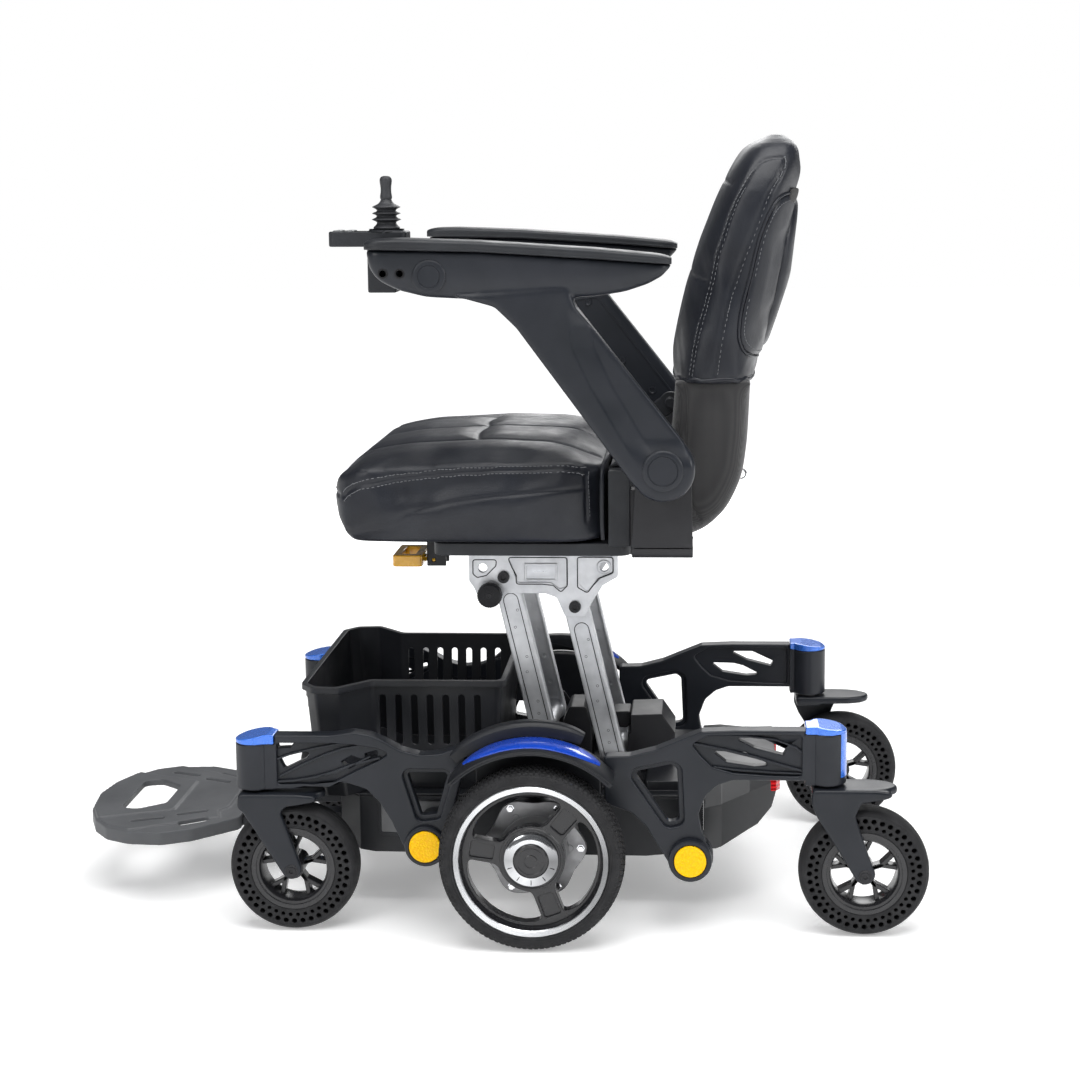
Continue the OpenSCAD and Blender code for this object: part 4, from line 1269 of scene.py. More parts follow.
bpy.data.objects.remove(tyre_model)
bpy.data.objects.remove(rim_model)


# ---------- armrests ----------


def lerp_table(table, t):
    """Linear reading of a list of (place, value)."""
    if t <= table[0][0]:
        return table[0][1]
    for (a, u), (b, v) in zip(table, table[1:]):
        if t <= b:
            return u + (v - u) * (t - a) / (b - a)
    return table[-1][1]


def section(cx, y, z0, z1, half, power, count=40, flat_top=True):
    """A rounded section across the armrest: full width at z1, drawn in towards z0."""
    pts = []
    for k in range(count):
        a = 2 * math.pi * k / count
        c = math.cos(a)
        s = math.sin(a)
        u = math.copysign(abs(c) ** (2 / power), c)
        v = math.copysign(abs(s) ** (2 / power), s)
        if flat_top:
            v = max(v, -1)
        pts.append(at(cx + half * u, y, (z0 + z1) / 2 + (z1 - z0) / 2 * v))
    return pts


ARM_CX = 282.2
ARM_TOP = [(-208, 946.2), (-60, 943.0), (90, 933.5), (190, 926.2)]
ARM_LOW = [(-206.5, 938), (-203, 922), (-196, 911), (-188, 904), (-165, 893), (-130, 884.5), (-76, 881.6), (-20, 881),
           (52, 882.5), (99, 886), (130, 891), (160, 901), (178, 911), (188, 922), (190, 925.4)]


def boat():
    """The armrest's long shell under the pad."""
    rings = []
    for i in range(61):
        t = i / 60
        y = -207 + 397 * (0.5 - 0.5 * math.cos(math.pi * t))
        top = lerp_table(ARM_TOP, y)
        low = min(lerp_table(ARM_LOW, y), top - 0.4)
        end = min(1.0, (y + 207.6) / 16, (190.6 - y) / 16)
        half = 19.8 * math.sqrt(max(0.02, 1 - (1 - max(end, 0.0)) ** 2)) if end < 1 else 19.8
        ring = []
        for k in range(48):
            a = 2 * math.pi * k / 48
            c = math.cos(a)
            s = math.sin(a)
            # the top is flat with soft edges, the belly is round
            if s >= 0:
                u = math.copysign(abs(c) ** 0.3, c)
                v = abs(s) ** 0.3
                z = top - 4 + 4 * v
            else:
                u = math.copysign(abs(c) ** 0.62, c)
                v = abs(s) ** 0.62
                z = top - 4 - (top - 4 - low) * v
            ring.append(at(ARM_CX + half * u, y, z))
        rings.append(ring)
    return loft("boat", rings)


def hole_plugs():
    """Near-black plugs deep in the two accessory holes of the left armrest: painted shade at the bottom of each hole.
    """
    plugs = [lathe("plug", [(264, 0), (264, 4.6), (276, 4.6), (276, 0)], at(0, y, 916), 24) for y in (-184, -162)]
    piece(joined("armrest_plugs_left", plugs), "arm_left", "arm_casting", (), "shadow")


def armrest():
    shell = boat()
    leg = soft(flat([(-96, 886), (-76, 882), (-40, 872), (-12, 845), (147, 628), (213, 684), (66, 872), (56, 898)]), 14, 8)
    beam = moulding("beam", [leg], 262.6, 301.6, 3.5, steps=3)
    end = lathe("end", [(262.4, 0), (262.4, 40), (265, 42.5), (293, 42.5), (298.5, 41), (301.4, 36), (301.6, 0)],
                at(0, 179, 657), 80)
    body = cast("body", [shell, beam, end], 2.0, 9)
    edge = flat([(52, 872), (61, 818), (84, 768), (150, 656)])
    for v in body.data.vertices:
        y = lerp_table([(p[1], p[0]) for p in edge[::-1]], v.co.z)
        past = (v.co.y - y) / MM
        if past > 0 and v.co.x > 0.282 and 0.66 < v.co.z < 0.872:
            share = (v.co.x - 0.282) / 0.020
            fade = smoothstep(0.66, 0.70, v.co.z) * (1 - smoothstep(0.845, 0.872, v.co.z))
            v.co.x -= min(12.0, past * 0.42) * MM * share * fade
    knuckle = lathe("knuckle", [(299, 27.2), (302.3, 27), (303.2, 26), (304, 24), (304, 20.4), (303.3, 19.8), (303.3, 19.2),
                                (304, 18.6), (304, 0)], at(0, 179, 657), 80)
    knob = lathe("cap", [(300, 22), (302.6, 22), (303.6, 21), (304, 19.6), (304, 15.4), (303.4, 14.8), (303.4, 14.2),
                         (304, 13.6), (304, 0)], at(0, -124, 912), 64)
    for y in (-184, -162):
        body = cut(body, lathe("drill", [(255, 0), (255, 4.5), (310, 4.5), (310, 0)], at(0, y, 916), 32))
    arm = joined("armrest_shell_left", [body, knuckle, knob])
    # near-black linings in the two drilled holes: painted shade inside the holes
    ring = [(262.3, 4.6), (262.3, 6.4), (301.9, 6.4), (302.2, 6.0), (302.2, 4.6)]
    hole_shade_linings = [lathe("sleeve", ring, at(0, y, 916), 32, closed=True) for y in (-184, -162)]
    hole_shade_linings = joined("armrest_sleeves_left", hole_shade_linings)
    # inner face: sunk panel and screws
    panel = soft(flat([(20, 846), (150, 668), (186, 694), (64, 852)]), 8)
    rim = moulding("panel", [panel, grown(panel, -3)], 261.4, 263.4, 0.6)
    heads = [lathe("screw", [(262.6, 0), (262.0, 2), (262.0, 3.4), (261.2, 4.4), (261.2, 5.6), (262.8, 6.2)],
                   at(0, y, z), 24) for y, z in ((48, 842), (150, 700), (102, 748))]
    inner = joined("armrest_inner_left", [rim] + heads)
    pad = arm_pad()
    both([
        (arm, "arm_left", "arm_casting", "arm_left", None),
        (hole_shade_linings, "arm_left", "arm_casting", None, "shadow"),
        (inner, "arm_left", "arm_casting", None, None),
    ])
    other = mirrored(pad, "arm_pad_cover_right")
    for obj, side in ((pad, "left"), (other, "right")):
        piece(obj, "arm_" + side, "soft_plastic", ["arm_pad_" + side])


def arm_pad():
    """The padded top: crowned, with a parting line low on its side."""
    rings = []
    for i in range(73):
        t = i / 72
        y = -209 + 399.5 * (0.5 - 0.5 * math.cos(math.pi * t))
        low = lerp_table(ARM_TOP, y) + 0.4
        high = lerp_table([(-209, 960), (-160, 961), (-60, 957.5), (90, 947.5), (190, 938.0)], y)
        end = min((y + 209.4) / 26, (190.9 - y) / 26, 1.0)
        shape = math.sqrt(max(0.015, 1 - (1 - max(end, 0.0)) ** 2))
        half = 29.0 * (0.45 + 0.55 * shape) if end < 1 else 29.0
        high -= 5.5 * (1 - shape)
        ring = []
        for k in range(56):
            a = 2 * math.pi * k / 56
            c = math.cos(a)
            s = math.sin(a)
            u = math.copysign(abs(c) ** (0.34 if s > 0 else 0.22), c)
            v = math.copysign(abs(s) ** (0.5 if s > 0 else 0.3), s)
            x = 280 + half * u
            z = (low + high) / 2 + (high - low) / 2 * v + (1.2 * (1 - abs(u) ** 2) if s > 0 else 0)
            ring.append(at(x, y, z))
        rings.append(ring)
    pad = loft("arm_pad_cover_left", rings, 80)
    pad = denser(pad)
    line = [at(280 + 34 * math.copysign(1, x), y, lerp_table(ARM_TOP, y) + 5.0) for x, y in
            [(1, -200 + 10 * k) for k in range(39)] + [(-1, 180 - 10 * k) for k in range(39)]]
    groove(pad, [line + line[:1]], 1.1, 0.9)
    return pad


armrest()
hole_plugs()


# ---------- seat cushion ----------


def seat():
    lo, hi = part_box("seat_cushion")
    half = (hi.x - lo.x) / 2
    bm = bmesh.new()
    bm.from_mesh(nodes["seat_cushion"].data)
    pad = from_bm("seat_cover", bm)
    remeshed(pad, 6)
    smooth(pad, 5)
    low_seam = flat([(-267, 554), (-236, 563), (-190, 575), (-168, 588), (-113, 603), (-45, 613), (22, 619), (85, 622)])
    low = [(p[0], p[1]) for p in low_seam]
    for v in pad.data.vertices:
        x, y, z = v.co
        u = abs(x) / half
        crown = smoothstep(0.600, 0.668, z)
        v.co.z -= crown * (0.006 + 0.013 * u ** 2.4)
        tuck = lerp_table(low, y)
        if z < tuck:
            v.co.x *= 1 - 0.055 * smoothstep(0, 1, (tuck - z) / max(tuck - lo.z, 0.001)) * u ** 2
        if u > 0.7:
            v.co.x *= 0.985
    fitted(pad, lo + Vector((4, 6, 2)) * MM, hi - Vector((4, 2, 3)) * MM)
    rest_z = lo.z + 0.006
    back = hi.y - 0.003
    puffed(pad, 4.0, 9.0, lambda co: co.z < rest_z or co.y > back)
    denser(pad)
    z_top = 660

    def top(points):
        return curved([at(x, y, z_top + 10 - 16 * (x / 235) ** 2 + (10 if y > -150 else -10)) for x, y in points], 8)

    seams = []
    for s in (-1, 1):
        seams.append(top([(s * 130, 98), (s * 130, 20), (s * 124, -84), (s * 120, -180), (s * 112, -246)]))
    seams.append(top([(0, 98), (2, 20), (0, -84), (0, -150), (0, -208)]))
    seams.append(top([(-124, -84), (-60, -90), (0, -84), (60, -90), (124, -84)]))
    groove(pad, seams, 17, 3.4)
    groove(pad, seams, 3.0, 2.2)
    edge = [(-284, 611), (-262, 620), (-235, 627), (-180, 636.5), (-113, 645), (-45, 650.5), (22, 653.5), (72, 653), (92, 650)]
    sides = []
    for s in (-1, 1):
        rim = curved([at(s * 240, y, z) for y, z in edge], 6)
        lower = curved([at(s * 236, y, z) for y, z in
                        [(-272, 556), (-236, 563), (-190, 575), (-168, 588), (-113, 603), (-45, 613), (22, 619), (86, 622)]], 6)
        corner = [at(s * 240, 88, z) for z in range(650, 560, -6)]
        sides.append((rim, lower, corner))
    front_rim = curved([at(x, -294 + 10 * abs(x / 200) ** 4, 611 + 3 * (1 - (x / 210) ** 2)) for x in range(-216, 217, 24)], 3)
    groove(pad, [r for group in sides for r in group[:1]] + [front_rim], 2.6, 2.2)
    groove(pad, [group[1] for group in sides] + [group[2] for group in sides], 2.4, 1.6)
    rows = []
    for i, (rim, lower, corner) in enumerate(sides):
        for k, dz in enumerate((4.5, -5)):
            rows.append(stitches("row", pad, [p + Vector((0, 0, dz * MM)) for p in rim], 6.5, 4.2, 0.5))
        rows.append(stitches("row", pad, [p + Vector((0, 6 * MM, 0)) for p in corner], 6.5, 4.2, 0.45))
    rows.append(stitches("row", pad, [p + Vector((0, 0, 4.5 * MM)) for p in front_rim], 6.5, 4.2, 0.5))
    thread = joined("seat_stitches", rows)
    piece(pad, "seat", "leather", ["seat_cushion"])
    piece(thread, "seat", "leather", (), "thread")
    # welt round the rear corner
    welts = []
    for s in (-1, 1):
        path = curved([at(s * x, y, z) for x, y, z in
                       [(150, 101, 664), (205, 100, 660), (226, 96, 650), (232, 95, 620), (231, 95, 580), (228, 96, 552)]], 8)
        welts.append(wire("welt", path, 3.0))
    piece(joined("seat_welts", welts), "seat", "leather", ())


seat()


# ---------- back ----------

BACK_FRONT = [(765, 186), (790, 189), (849, 201), (896, 213), (944, 228), (1012, 255), (1050, 273), (1080, 291), (1096, 306)]
BACK_REAR = [(765, 304), (822, 308), (904, 330), (960, 340), (1012, 350), (1040, 361), (1065, 370), (1085, 371), (1096, 366)]


def back_point(a, z, shrink, power=4.2):
    """A point of the back cover at an angle and a height, shrunk by millimetres."""
    y0 = lerp_table(BACK_FRONT, z) + shrink
    y1 = lerp_table(BACK_REAR, z) - shrink
    drop = max(0.0, z - (1106 - 112))
    half = 208 - 112 + math.sqrt(max(0.0, 112 ** 2 - drop ** 2)) - shrink
    c = math.cos(a)
    s = math.sin(a)
    u = math.copysign(abs(c) ** (2 / power), c)
    v = math.copysign(abs(s) ** (2 / power), s)
    return at(half * u, (y0 + y1) / 2 + (y1 - y0) / 2 * v, z)


def back_ring(z, shrink, count=64):
    """Section of the back cover at a height."""
    return [back_point(2 * math.pi * k / count, z, shrink) for k in range(count)]


def back():
    shrink = 4.0
    heights = [766, 780, 800, 830, 860, 890, 920, 950, 980, 1000, 1020, 1040, 1058, 1072, 1084, 1092, 1097, 1100]
    rings = [back_ring(z, shrink + max(0.0, z - 1084) * 0.9) for z in heights]
    pad = loft("back_cover", rings)
    remeshed(pad, 6)
    smooth(pad, 6)
    lo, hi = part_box("back_cushion")
    fitted(pad, lo + Vector((4, 3, -6)) * MM, hi - Vector((4, 3, 4)) * MM)
    foot = 0.768
    puffed(pad, 3.0, 8.0, lambda co: co.z < foot)
    denser(pad)
    rear = [(289, 1076), (300, 1090), (315, 1098), (345, 1099), (361, 1094), (366, 1079), (350, 1048), (325, 1022), (303, 970),
            (282, 922), (268, 880), (260, 850), (250, 800), (246, 770)]
    front = [(289, 1076), (270, 1040), (255, 1004), (240, 962), (226, 917), (215, 880), (207, 846), (201, 806), (198, 770)]
    twin = [(y + 9, z - 3) for y, z in front[1:]]
    seams = []
    rows = []
    for s in (-1, 1):
        a = curved([at(s * 215, y, z) for y, z in front], 6)
        b = curved([at(s * 215, y, z) for y, z in rear], 6)
        seams += [a, b]
        rows.append(stitches("row", pad, curved([at(s * 215, y, z) for y, z in twin], 6), 7, 4, 0.5))
        rows.append(stitches("row", pad, [p + Vector((0, -4 * MM, 0)) for p in a], 7, 4, 0.5))
        rows.append(stitches("row", pad, [p + Vector((0, 5 * MM, 0)) for p in b[20:]], 7, 4, 0.45))
    band = curved([at(x, lerp_table(BACK_FRONT, 1034) - 4, 1034) for x in range(-170, 171, 34)], 4)
    low_band = curved([at(x, lerp_table(BACK_FRONT, 905) - 4, 905) for x in range(-200, 201, 40)], 4)
    groove(pad, seams, 2.6, 2.0)
    groove(pad, [band, low_band], 15, 0.8)
    groove(pad, [band, low_band], 2.6, 1.3)
    tree = surface_of(pad)
    piece(pad, "back", "leather", ["back_cushion"])
    piece(joined("back_stitches", rows), "back", "leather", (), "thread")
    # hem at the cover's lower edge, a little wavy
    hem = []
    for i in range(96):
        p = tree.find_nearest(back_ring(763, 0, 96)[i])[0]
        p.z += (1.2 * math.sin(i * 0.7) + 0.7 * math.sin(i * 1.9)) * MM
        hem.append(p)
    roll = wire("back_hem", hem, 3.2, True)
    piece(roll, "back", "leather", ())
    return tree


def shell():
    """The lower shell of the back: dark woven cover over a moulded pan."""
    lo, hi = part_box("back_shell")
    obj = refine("back_shell", 0, 1, "back_lower_cover")
    remeshed(obj, 5)
    top = hi.z - 0.006
    smooth(obj, 60, 0.5, lambda co: co.z > top)
    centre = (lo.y + hi.y) / 2
    for v in obj.data.vertices:
        v.co.y = centre + (v.co.y - centre) * 0.93
        v.co.z = hi.z - (hi.z - v.co.z) * 0.965
    denser(obj)
    line = [at(206, y, z) for y, z in [(205, 762), (205, 700), (208, 640), (217, 590), (230, 566)]]
    groove(obj, [line, [Vector((-p.x, p.y, p.z)) for p in line]], 2.4, 1.6)
    piece(obj, "back", "shell_fabric", ["back_shell"])
    hit = surface_of(obj).ray_cast(Vector((0.15, 2, 0.63)), Vector((0, -1, 0)))[0]
    eye = [hit + Vector((0, 8 * math.sin(k * math.pi / 12) - 1, 7 * math.cos(k * math.pi / 12))) * MM for k in range(13)]
    rings = [wire("eye", [Vector((s * p.x, p.y, p.z)) for p in eye], 1.5) for s in (-1, 1)]
    piece(joined("back_loops", rings), "back", "chrome", (), "chrome")


def pocket(tree):
    """Map pocket on the rear: a gathered bag under an elastic band."""

    def rear(x, z):
        hit = tree.ray_cast(Vector((x * MM, 2, z * MM)), Vector((0, -1, 0)))[0]
        return (hit.y - AXLE.y) / MM

    def oval(u, v, grow, out):
        x = 146 * u * grow
        z = 905 + 108 * v * grow
        return at(x, rear(x, z) + out, z)

    count = 80
    loop = []
    for k in range(count):
        a = 2 * math.pi * k / count
        loop.append((math.copysign(abs(math.cos(a)) ** 0.6, math.cos(a)), math.copysign(abs(math.sin(a)) ** 0.6, math.sin(a))))
    rings = []
    for i in range(15):
        t = i / 14
        grow = 0.55 + 0.45 * math.sqrt(max(0.0, 1 - t ** 2.2))
        out = -2 + 20 * (1 - (1 - t) ** 2)
        rings.append([oval(u, v, grow, out * (1 - 0.3 * abs(v))) for u, v in loop])
    bag = loft("pocket_bag", rings)
    remeshed(bag, 4)
    smooth(bag, 5)
    piece(bag, "back", "leather", ["back_pocket"])


    def wrapped(u, v, out):
        p = back_point(math.radians(90 - 79 * u), 905 + 112 * v, 0)
        spot, normal = tree.find_nearest(p)[:2]
        return spot + normal * out * MM

    skins = []
    for i in range(13):
        t = i / 12
        grow = 0.4 + 0.6 * math.sqrt(max(0.0, 1 - t ** 2.2))
        skins.append([wrapped(u * grow, v * grow, -2 + 7 * (1 - (1 - t) ** 3)) for u, v in loop])
    wings = loft("pocket_wings", skins)
    remeshed(wings, 3)
    smooth(wings, 3)
    piece(wings, "back", "leather", ())
    piece(wire("pocket_piping", [wrapped(u * 1.01, v * 1.01, 0.8) for u, v in loop], 2.0, True), "back", "leather", ())
    sewn = stitches("pocket_stitches", wings, [wrapped(u * 0.93, v * 0.93, 6) for u, v in loop], 7, 4, 0.5)
    piece(sewn, "back", "leather", (), "thread")
    verts = []
    xs = range(-154, 155, 7)
    for x in xs:
        for out, z in ((-3, 1000), (4, 1001), (5.5, 1006), (5.5, 1018), (4, 1023), (-3, 1024)):
            verts.append(at(x, rear(x, z) + out + 0.5 * math.sin(x * 0.9), z))
    n = 6
    faces = [tuple(range(n)), tuple((len(xs) - 1) * n + j for j in range(n))[::-1]]
    for i in range(len(xs) - 1):
        for j in range(n):
            k = (j + 1) % n
            faces.append((i * n + j, i * n + k, (i + 1) * n + k, (i + 1) * n + j))
    bm = bmesh.new()
    points = [bm.verts.new(v) for v in verts]
    for f in faces:
        bm.faces.new([points[i] for i in f])
    bmesh.ops.recalc_face_normals(bm, faces=bm.faces)
    piece(denser(from_bm("pocket_band", bm, 60)), "back", "leather", (), "elastic")


pocket(back())
shell()


# ---------- lift ----------


def carriage():
    body = refine("carriage", 0.7, 2)
    piece(body, "carriage", "cast_silver", ["carriage"])
    pockets = [
        soft(flat([(-98, 497), (-64, 497), (-65, 488), (-79, 474), (-92, 471), (-98, 476)]), 4),
        soft(flat([(-48, 500.5), (37, 500.5), (37, 459), (28, 450), (17, 460), (1, 461.5), (-36, 461.5), (-36, 474), (-42, 486)]), 4),
        soft(flat([(52, 501), (103, 501), (103, 479), (82, 470), (66, 449), (52, 457)]), 4),
    ]
    # near-black beads round the three pockets on each side of the carriage: painted shade at the pocket edges
    lines = []
    for ring in pockets:
        for s in (-1, 1):
            lines.append(wire("line", [Vector((s * 99.95 * MM, p[0], p[1])) for p in ring], 0.75, True))
    piece(joined("carriage_outlines", lines), "carriage", "cast_silver", (), "shadow")
    insets = []
    for s in (-1, 1):
        frame_ring = soft(flat([(-22, 490), (21, 490), (21, 468), (-22, 468)]), 2)
        inset = moulding("inset", [frame_ring], 97.4, 98.2, 0.3)
        insets.append(inset if s > 0 else mirrored(inset, "m"))
        if s < 0:
            bpy.data.objects.remove(inset)
    piece(joined("carriage_insets", insets), "carriage", "cast_silver", (), "brushed")


def knob():
    lo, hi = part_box("pull_knob")
    c = at(0, -73, 448)
    rings = [(106, 5), (106, 15), (107.2, 17.2), (109, 17.5), (116.6, 17.5), (118.6, 16.8)]
    for r in (15.2, 13.4, 11.6, 9.8, 8.0, 6.2):
        rings += [(119.7, r), (119.7, r - 0.5), (119.2, r - 0.9), (119.2, r - 1.3)]
    rings += [(119.8, 4), (119.8, 2.4), (118.9, 2.0), (118.9, 0)]
    turned_knob = lathe("knob_head", rings, c, 72)
    flutes = []
    for k in range(30):
        a = 2 * math.pi * k / 30
        p = c + Vector((0, 17.3 * math.cos(a), 17.3 * math.sin(a))) * MM
        flutes.append(wire("flute", [p + Vector((108.5 * MM, 0, 0)), p + Vector((117.2 * MM, 0, 0))], 0.6))
    pin = lathe("pin", [(92.5, 0), (92.5, 5), (106.5, 5)], c, 32)
    piece(joined("knob_body", [turned_knob] + flutes), "pull_knob", "black_steel", ["pull_knob"])
    piece(pin, "pull_knob", "black_steel", ["pull_knob"], "chrome")


def struts():
    for node in ("front_struts", "rear_struts"):
        body = cast(node + "_casting", [refine(node, 0)], 1.5, 3)
        piece(body, BODY[node], SLOT[node], [node])
    lean = math.radians(13)
    for node, low in (("front_struts", (-54, 472)), ("rear_struts", (48, 429))):
        foot = Vector((low[0] + 250 * math.sin(lean), low[1] - 250 * math.cos(lean)))
        up = Vector((-math.sin(lean), math.cos(lean)))
        out = Vector((up.y, -up.x))

        def on(h, w):
            p = foot + up * h + out * w
            return p.x, p.y

        ring = []
        for k in range(13):
            a = math.pi * k / 12
            ring.append(on(212 + 10.5 * math.sin(a), 10.5 * math.cos(a)))
        for k in range(13):
            a = math.pi + math.pi * k / 12
            ring.append(on(18 + 10.5 * math.sin(a), 10.5 * math.cos(a)))
        panel = flat(ring)
        # near-black beads round each strut's panel: painted shade at its edge
        lines = []
        for s in (-1, 1):
            lines.append(wire("line", [Vector((s * 87.95 * MM, p[0], p[1])) for p in panel], 0.6, True))
        piece(joined(node + "_outline", lines), BODY[node], "cast_silver", (), "shadow")
        fill = moulding("fill", [panel, grown(panel, -0.1)][:1], 86.2, 87.7, 0.4)
        fills = joined(node + "_panels", [mirrored(fill, "f"), fill])
        piece(fills, BODY[node], "cast_silver", ())
        # near-black dots for the holes: painted shade where the openings would be
        marks = []
        for h, w in ((58, 3), (104, -2), (126, 3), (172, -3), (196, 6), (40, 0)):
            y, z = on(h, w)
            for s in (-1, 1):
                dot = lathe("dot", [(87.4, 0), (87.8, 1.9), (87.3, 2.2)], at(0, y, z), 16)
                if s < 0:
                    other = mirrored(dot, "d")
                    bpy.data.objects.remove(dot)
                    dot = other
                marks.append(dot)
        piece(joined(node + "_hole_shade", marks), BODY[node], "cast_silver", (), "shadow")


carriage()
knob()
struts()
polished("carriage_bolts", 0.6)
polished("lift_base", 1.2)
polished("lift_gearmotor", 1.6, "black_steel")


# ---------- chassis ----------

polished("chassis_tub", 1.6)
polished("chassis_cover", 1.4)


def shroud():
    """The rear cover, with its upper flanks leaning in above a crease."""
    bm = bmesh.new()
    bm.from_mesh(nodes["rear_shroud"].data)
    bmesh.ops.remove_doubles(bm, verts=bm.verts, dist=2e-5)
    bmesh.ops.dissolve_limit(bm, angle_limit=math.radians(1.5), verts=bm.verts, edges=bm.edges)
    low = at(0, 243, 150)
    high = at(0, 338, 172)
    along = high - low
    up = Vector((0, -along.z, along.y)).normalized()
    everything = bm.verts[:] + bm.edges[:] + bm.faces[:]
    bmesh.ops.bisect_plane(bm, geom=everything, plane_co=low, plane_no=up, dist=1e-6)
    for v in bm.verts:
        over = (v.co - low).dot(up)
        if over > 1e-4:
            v.co.x *= 1 - 7.5 * over * (1 - smoothstep(0.310, 0.336, v.co.y - AXLE.y))
    obj = from_bm("rear_shroud_body", bm, 180)
    bevel = obj.modifiers.new("edges", "BEVEL")
    bevel.width = 1.2 * MM
    bevel.segments = 2
    bevel.angle_limit = math.radians(12)
    piece(baked(obj, 42), BODY["rear_shroud"], SLOT["rear_shroud"], ["rear_shroud"])


shroud()
lamp = soft([(x * MM, AXLE.y + y * MM) for x, y in [(50, 336), (50, 343), (91, 343), (99, 337.5), (102, 327), (97, 327),
                                                     (92, 336)]], 1.5)
lamp = moulding("lamp", [lamp], 157, 187, 1.4, "z")
piece(joined("tail_lenses", [mirrored(lamp, "l"), lamp]), "base", "tail_red", ["tail_lights"])
polished("batteries", 2.0)
polished("gearmotors", 1.2)


def tub_sides():
    """Panels of the battery case on the flanks of the tub, each in a frame."""
    ring = soft(flat([(-231, 108), (-122, 104), (-122, 158), (-231, 158)]), 5)
    panel = moulding("panel", [ring], 149, 152.4, 1.0)
    border = moulding("border", [grown(ring, 3), grown(ring, -2)], 149, 153.4, 0.8)
    piece(joined("battery_panels", [mirrored(panel, "p"), panel]), "base", "battery", ())
    piece(joined("battery_frames", [mirrored(border, "b"), border]), "base", "frame_plastic", ())


tub_sides()


def motor_faces():
    """Cast end plate of each gearbox, seen between the spokes."""
    lobes = []
    for k in range(72):
        a = 2 * math.pi * k / 72
        r = 68 + 4 * math.cos(6 * a)
        lobes.append((r * math.cos(a), 127 + r * math.sin(a)))
    plate = moulding("plate", [flat(lobes), disc(0, 127, 34, 40)], 252, 258, 1.4)
    raised = moulding("raised", [disc(0, 127, 47, 60), disc(0, 127, 36, 40)], 256, 260.5, 1.2)
    bolts = []
    for k in range(6):
        a = math.radians(60 * k)
        c = at(0, 64 * math.cos(a), 127 + 64 * math.sin(a))
        bolts.append(lathe("bolt", [(257, 5.6), (258.8, 5.6), (259, 4.2), (261.6, 4.2), (262, 3.8), (262, 0)], c, 6))
    end = joined("motor_plate_left", [plate, raised])
    heads = joined("motor_bolts_left", bolts)
    for obj, mat in ((end, "motor"), (heads, "chrome")):
        other = mirrored(obj, obj.name.replace("left", "right"))
        piece(obj, "base", "motor", (), mat)
        piece(other, "base", "motor", (), mat)


motor_faces()
polished("basket", 0.8)
step = cast("footplate_casting", [refine("footplate", 0)], 1.6, 3)
piece(step, BODY["footplate"], SLOT["footplate"], ["footplate"], "step_grey")


# ---------- seat frame, brackets and controls ----------

polished("swivel_plate", 1.0)
polished("seat_frame", 1.5)
polished("arm_brackets", 1.0)
polished("seat_lever", 2.0, None, 3)
polished("joystick_pod", 2.0, None, 3)
polished("joystick_gimbal", 0.3)
for node in ("button_power", "button_horn", "button_faster", "button_slower"):
    polished(node, 0.8)


def joystick():
    lo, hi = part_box("joystick_gimbal")
    c = at(225.5, -190, 962)
    grip = [(46, 0), (46, 5), (50, 7.6), (53, 7.9), (58, 7.2), (64, 7.0), (70, 7.7), (74, 8.1), (77, 7.4), (79, 5.6),
            (79.9, 3), (80, 0)]
    stem = [(-6.4, 0), (-5, 4.2), (0, 6.4), (5, 4.2), (5.6, 3.5), (47, 3.5)]
    stick = joined("stick", [lathe("grip", smooth_profile(grip), c, 48, "z"), lathe("stem", stem, c, 32, "z")])
    piece(stick, "joystick", "rubber", ["joystick_stick"])
    boot = [(9.8, 3.7), (9.7, 12), (10.0, 16.4), (11.2, 17.6), (12.5, 17.2), (14.6, 15), (17.2, 13), (19.4, 13.4),
            (21.4, 17.6), (22.2, 19.4), (23.2, 18.4), (25.0, 14.6), (27, 13), (28.6, 14.6), (30, 18.4), (31.2, 18.2),
            (33, 13.8), (34.6, 12.6), (36.8, 15), (38.6, 18.6), (40, 17.6), (43, 11.5), (46, 8.4), (49.4, 6.6), (49.5, 3.7)]
    bellows = lathe("bellows", smooth_profile(boot), c, 64, "z")
    piece(bellows, "joystick", "rubber", ["joystick_boot"])


def smooth_profile(points):
    return [tuple(p) for p in curved(points, 3)]


joystick()


# ---------- floor, light and camera ----------


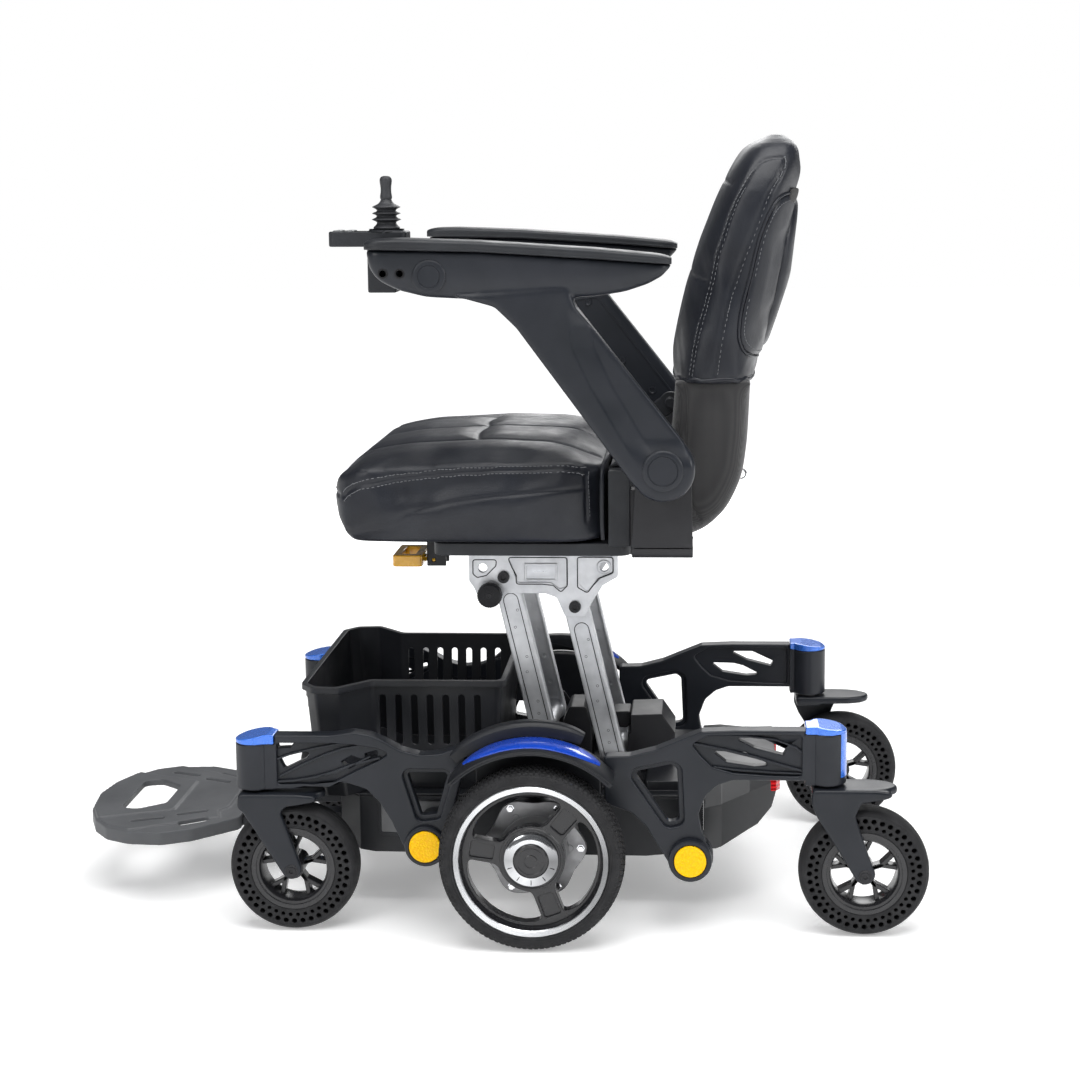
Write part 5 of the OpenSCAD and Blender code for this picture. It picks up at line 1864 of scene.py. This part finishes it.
def studio():
    scene = bpy.context.scene
    bpy.ops.mesh.primitive_plane_add(size=30, location=(0, 0, -0.0006))
    floor = bpy.context.object
    floor.name = "floor"
    p = Paint("studio_floor", rough=0.9)
    p.colour(p.noise(2, 3), [(0.3, (0.88, 0.88, 0.88)), (0.7, (0.9, 0.9, 0.9))])
    reach = p.node("ShaderNodeVectorMath", operation="LENGTH")
    p.link(p.where, reach.inputs[0])
    glow = p.node("ShaderNodeMapRange", interpolation_type="SMOOTHSTEP")
    glow.inputs["From Min"].default_value = 1.2
    glow.inputs["From Max"].default_value = 3.4
    glow.inputs["To Min"].default_value = 0.3
    glow.inputs["To Max"].default_value = 1.0
    p.link(reach.outputs["Value"], glow.inputs["Value"])
    p.set("Emission Color", (1, 1, 1, 1))
    p.link(glow.outputs["Result"], p.shader.inputs["Emission Strength"])
    floor.data.materials.append(p.mat)
    world = bpy.data.worlds.new("studio")
    world.use_nodes = True
    tree = world.node_tree
    back = tree.nodes["Background"]
    back.inputs["Color"].default_value = (0.93, 0.96, 1.0, 1)
    back.inputs["Strength"].default_value = 0.12
    seen = tree.nodes.new("ShaderNodeBackground")
    seen.inputs["Color"].default_value = (1, 1, 1, 1)
    path = tree.nodes.new("ShaderNodeLightPath")
    mix = tree.nodes.new("ShaderNodeMixShader")
    tree.links.new(path.outputs["Is Camera Ray"], mix.inputs["Fac"])
    tree.links.new(back.outputs["Background"], mix.inputs[1])
    tree.links.new(seen.outputs["Background"], mix.inputs[2])
    tree.links.new(mix.outputs["Shader"], tree.nodes["World Output"].inputs["Surface"])
    scene.world = world
    centre = Vector((0, 0, 0.5))
    for name, where, size, power in (
        ("top", (0.9, 0.3, 3.6), 3.2, 150),
        ("key", (3.4, -2.4, 2.6), 1.8, 60),
        ("rim", (1.8, 3.8, 2.2), 1.6, 60),
        ("far", (-3.4, 0.6, 2.4), 2.2, 60),
    ):
        light = bpy.data.lights.new(name, "AREA")
        light.energy = power
        light.size = size
        lamp = bpy.data.objects.new(name, light)
        scene.collection.objects.link(lamp)
        lamp.location = where
        lamp.rotation_euler = (centre - Vector(where)).to_track_quat("-Z", "Y").to_euler()
    scene.view_settings.view_transform = "Standard"


def camera():
    yaw = math.radians(2.374)
    pitch = math.radians(7.719)
    roll = math.radians(-0.307)
    look = Vector((-math.cos(pitch) * math.cos(yaw), -math.cos(pitch) * math.sin(yaw), -math.sin(pitch)))
    right = look.cross(Vector((0, 0, 1))).normalized()
    up = right.cross(look)
    x = right * math.cos(roll) + up * math.sin(roll)
    y = up * math.cos(roll) - right * math.sin(roll)
    data = bpy.data.cameras.new("camera")
    data.sensor_width = 36
    data.lens = 62.197
    data.shift_x = -0.08
    data.shift_y = -0.1
    cam = bpy.data.objects.new("camera", data)
    bpy.context.scene.collection.objects.link(cam)
    cam.matrix_world = Matrix.Translation((2.7127, 0.306, 1.0361)) @ Matrix((x, y, -look)).transposed().to_4x4()
    bpy.context.scene.camera = cam


studio()
camera()
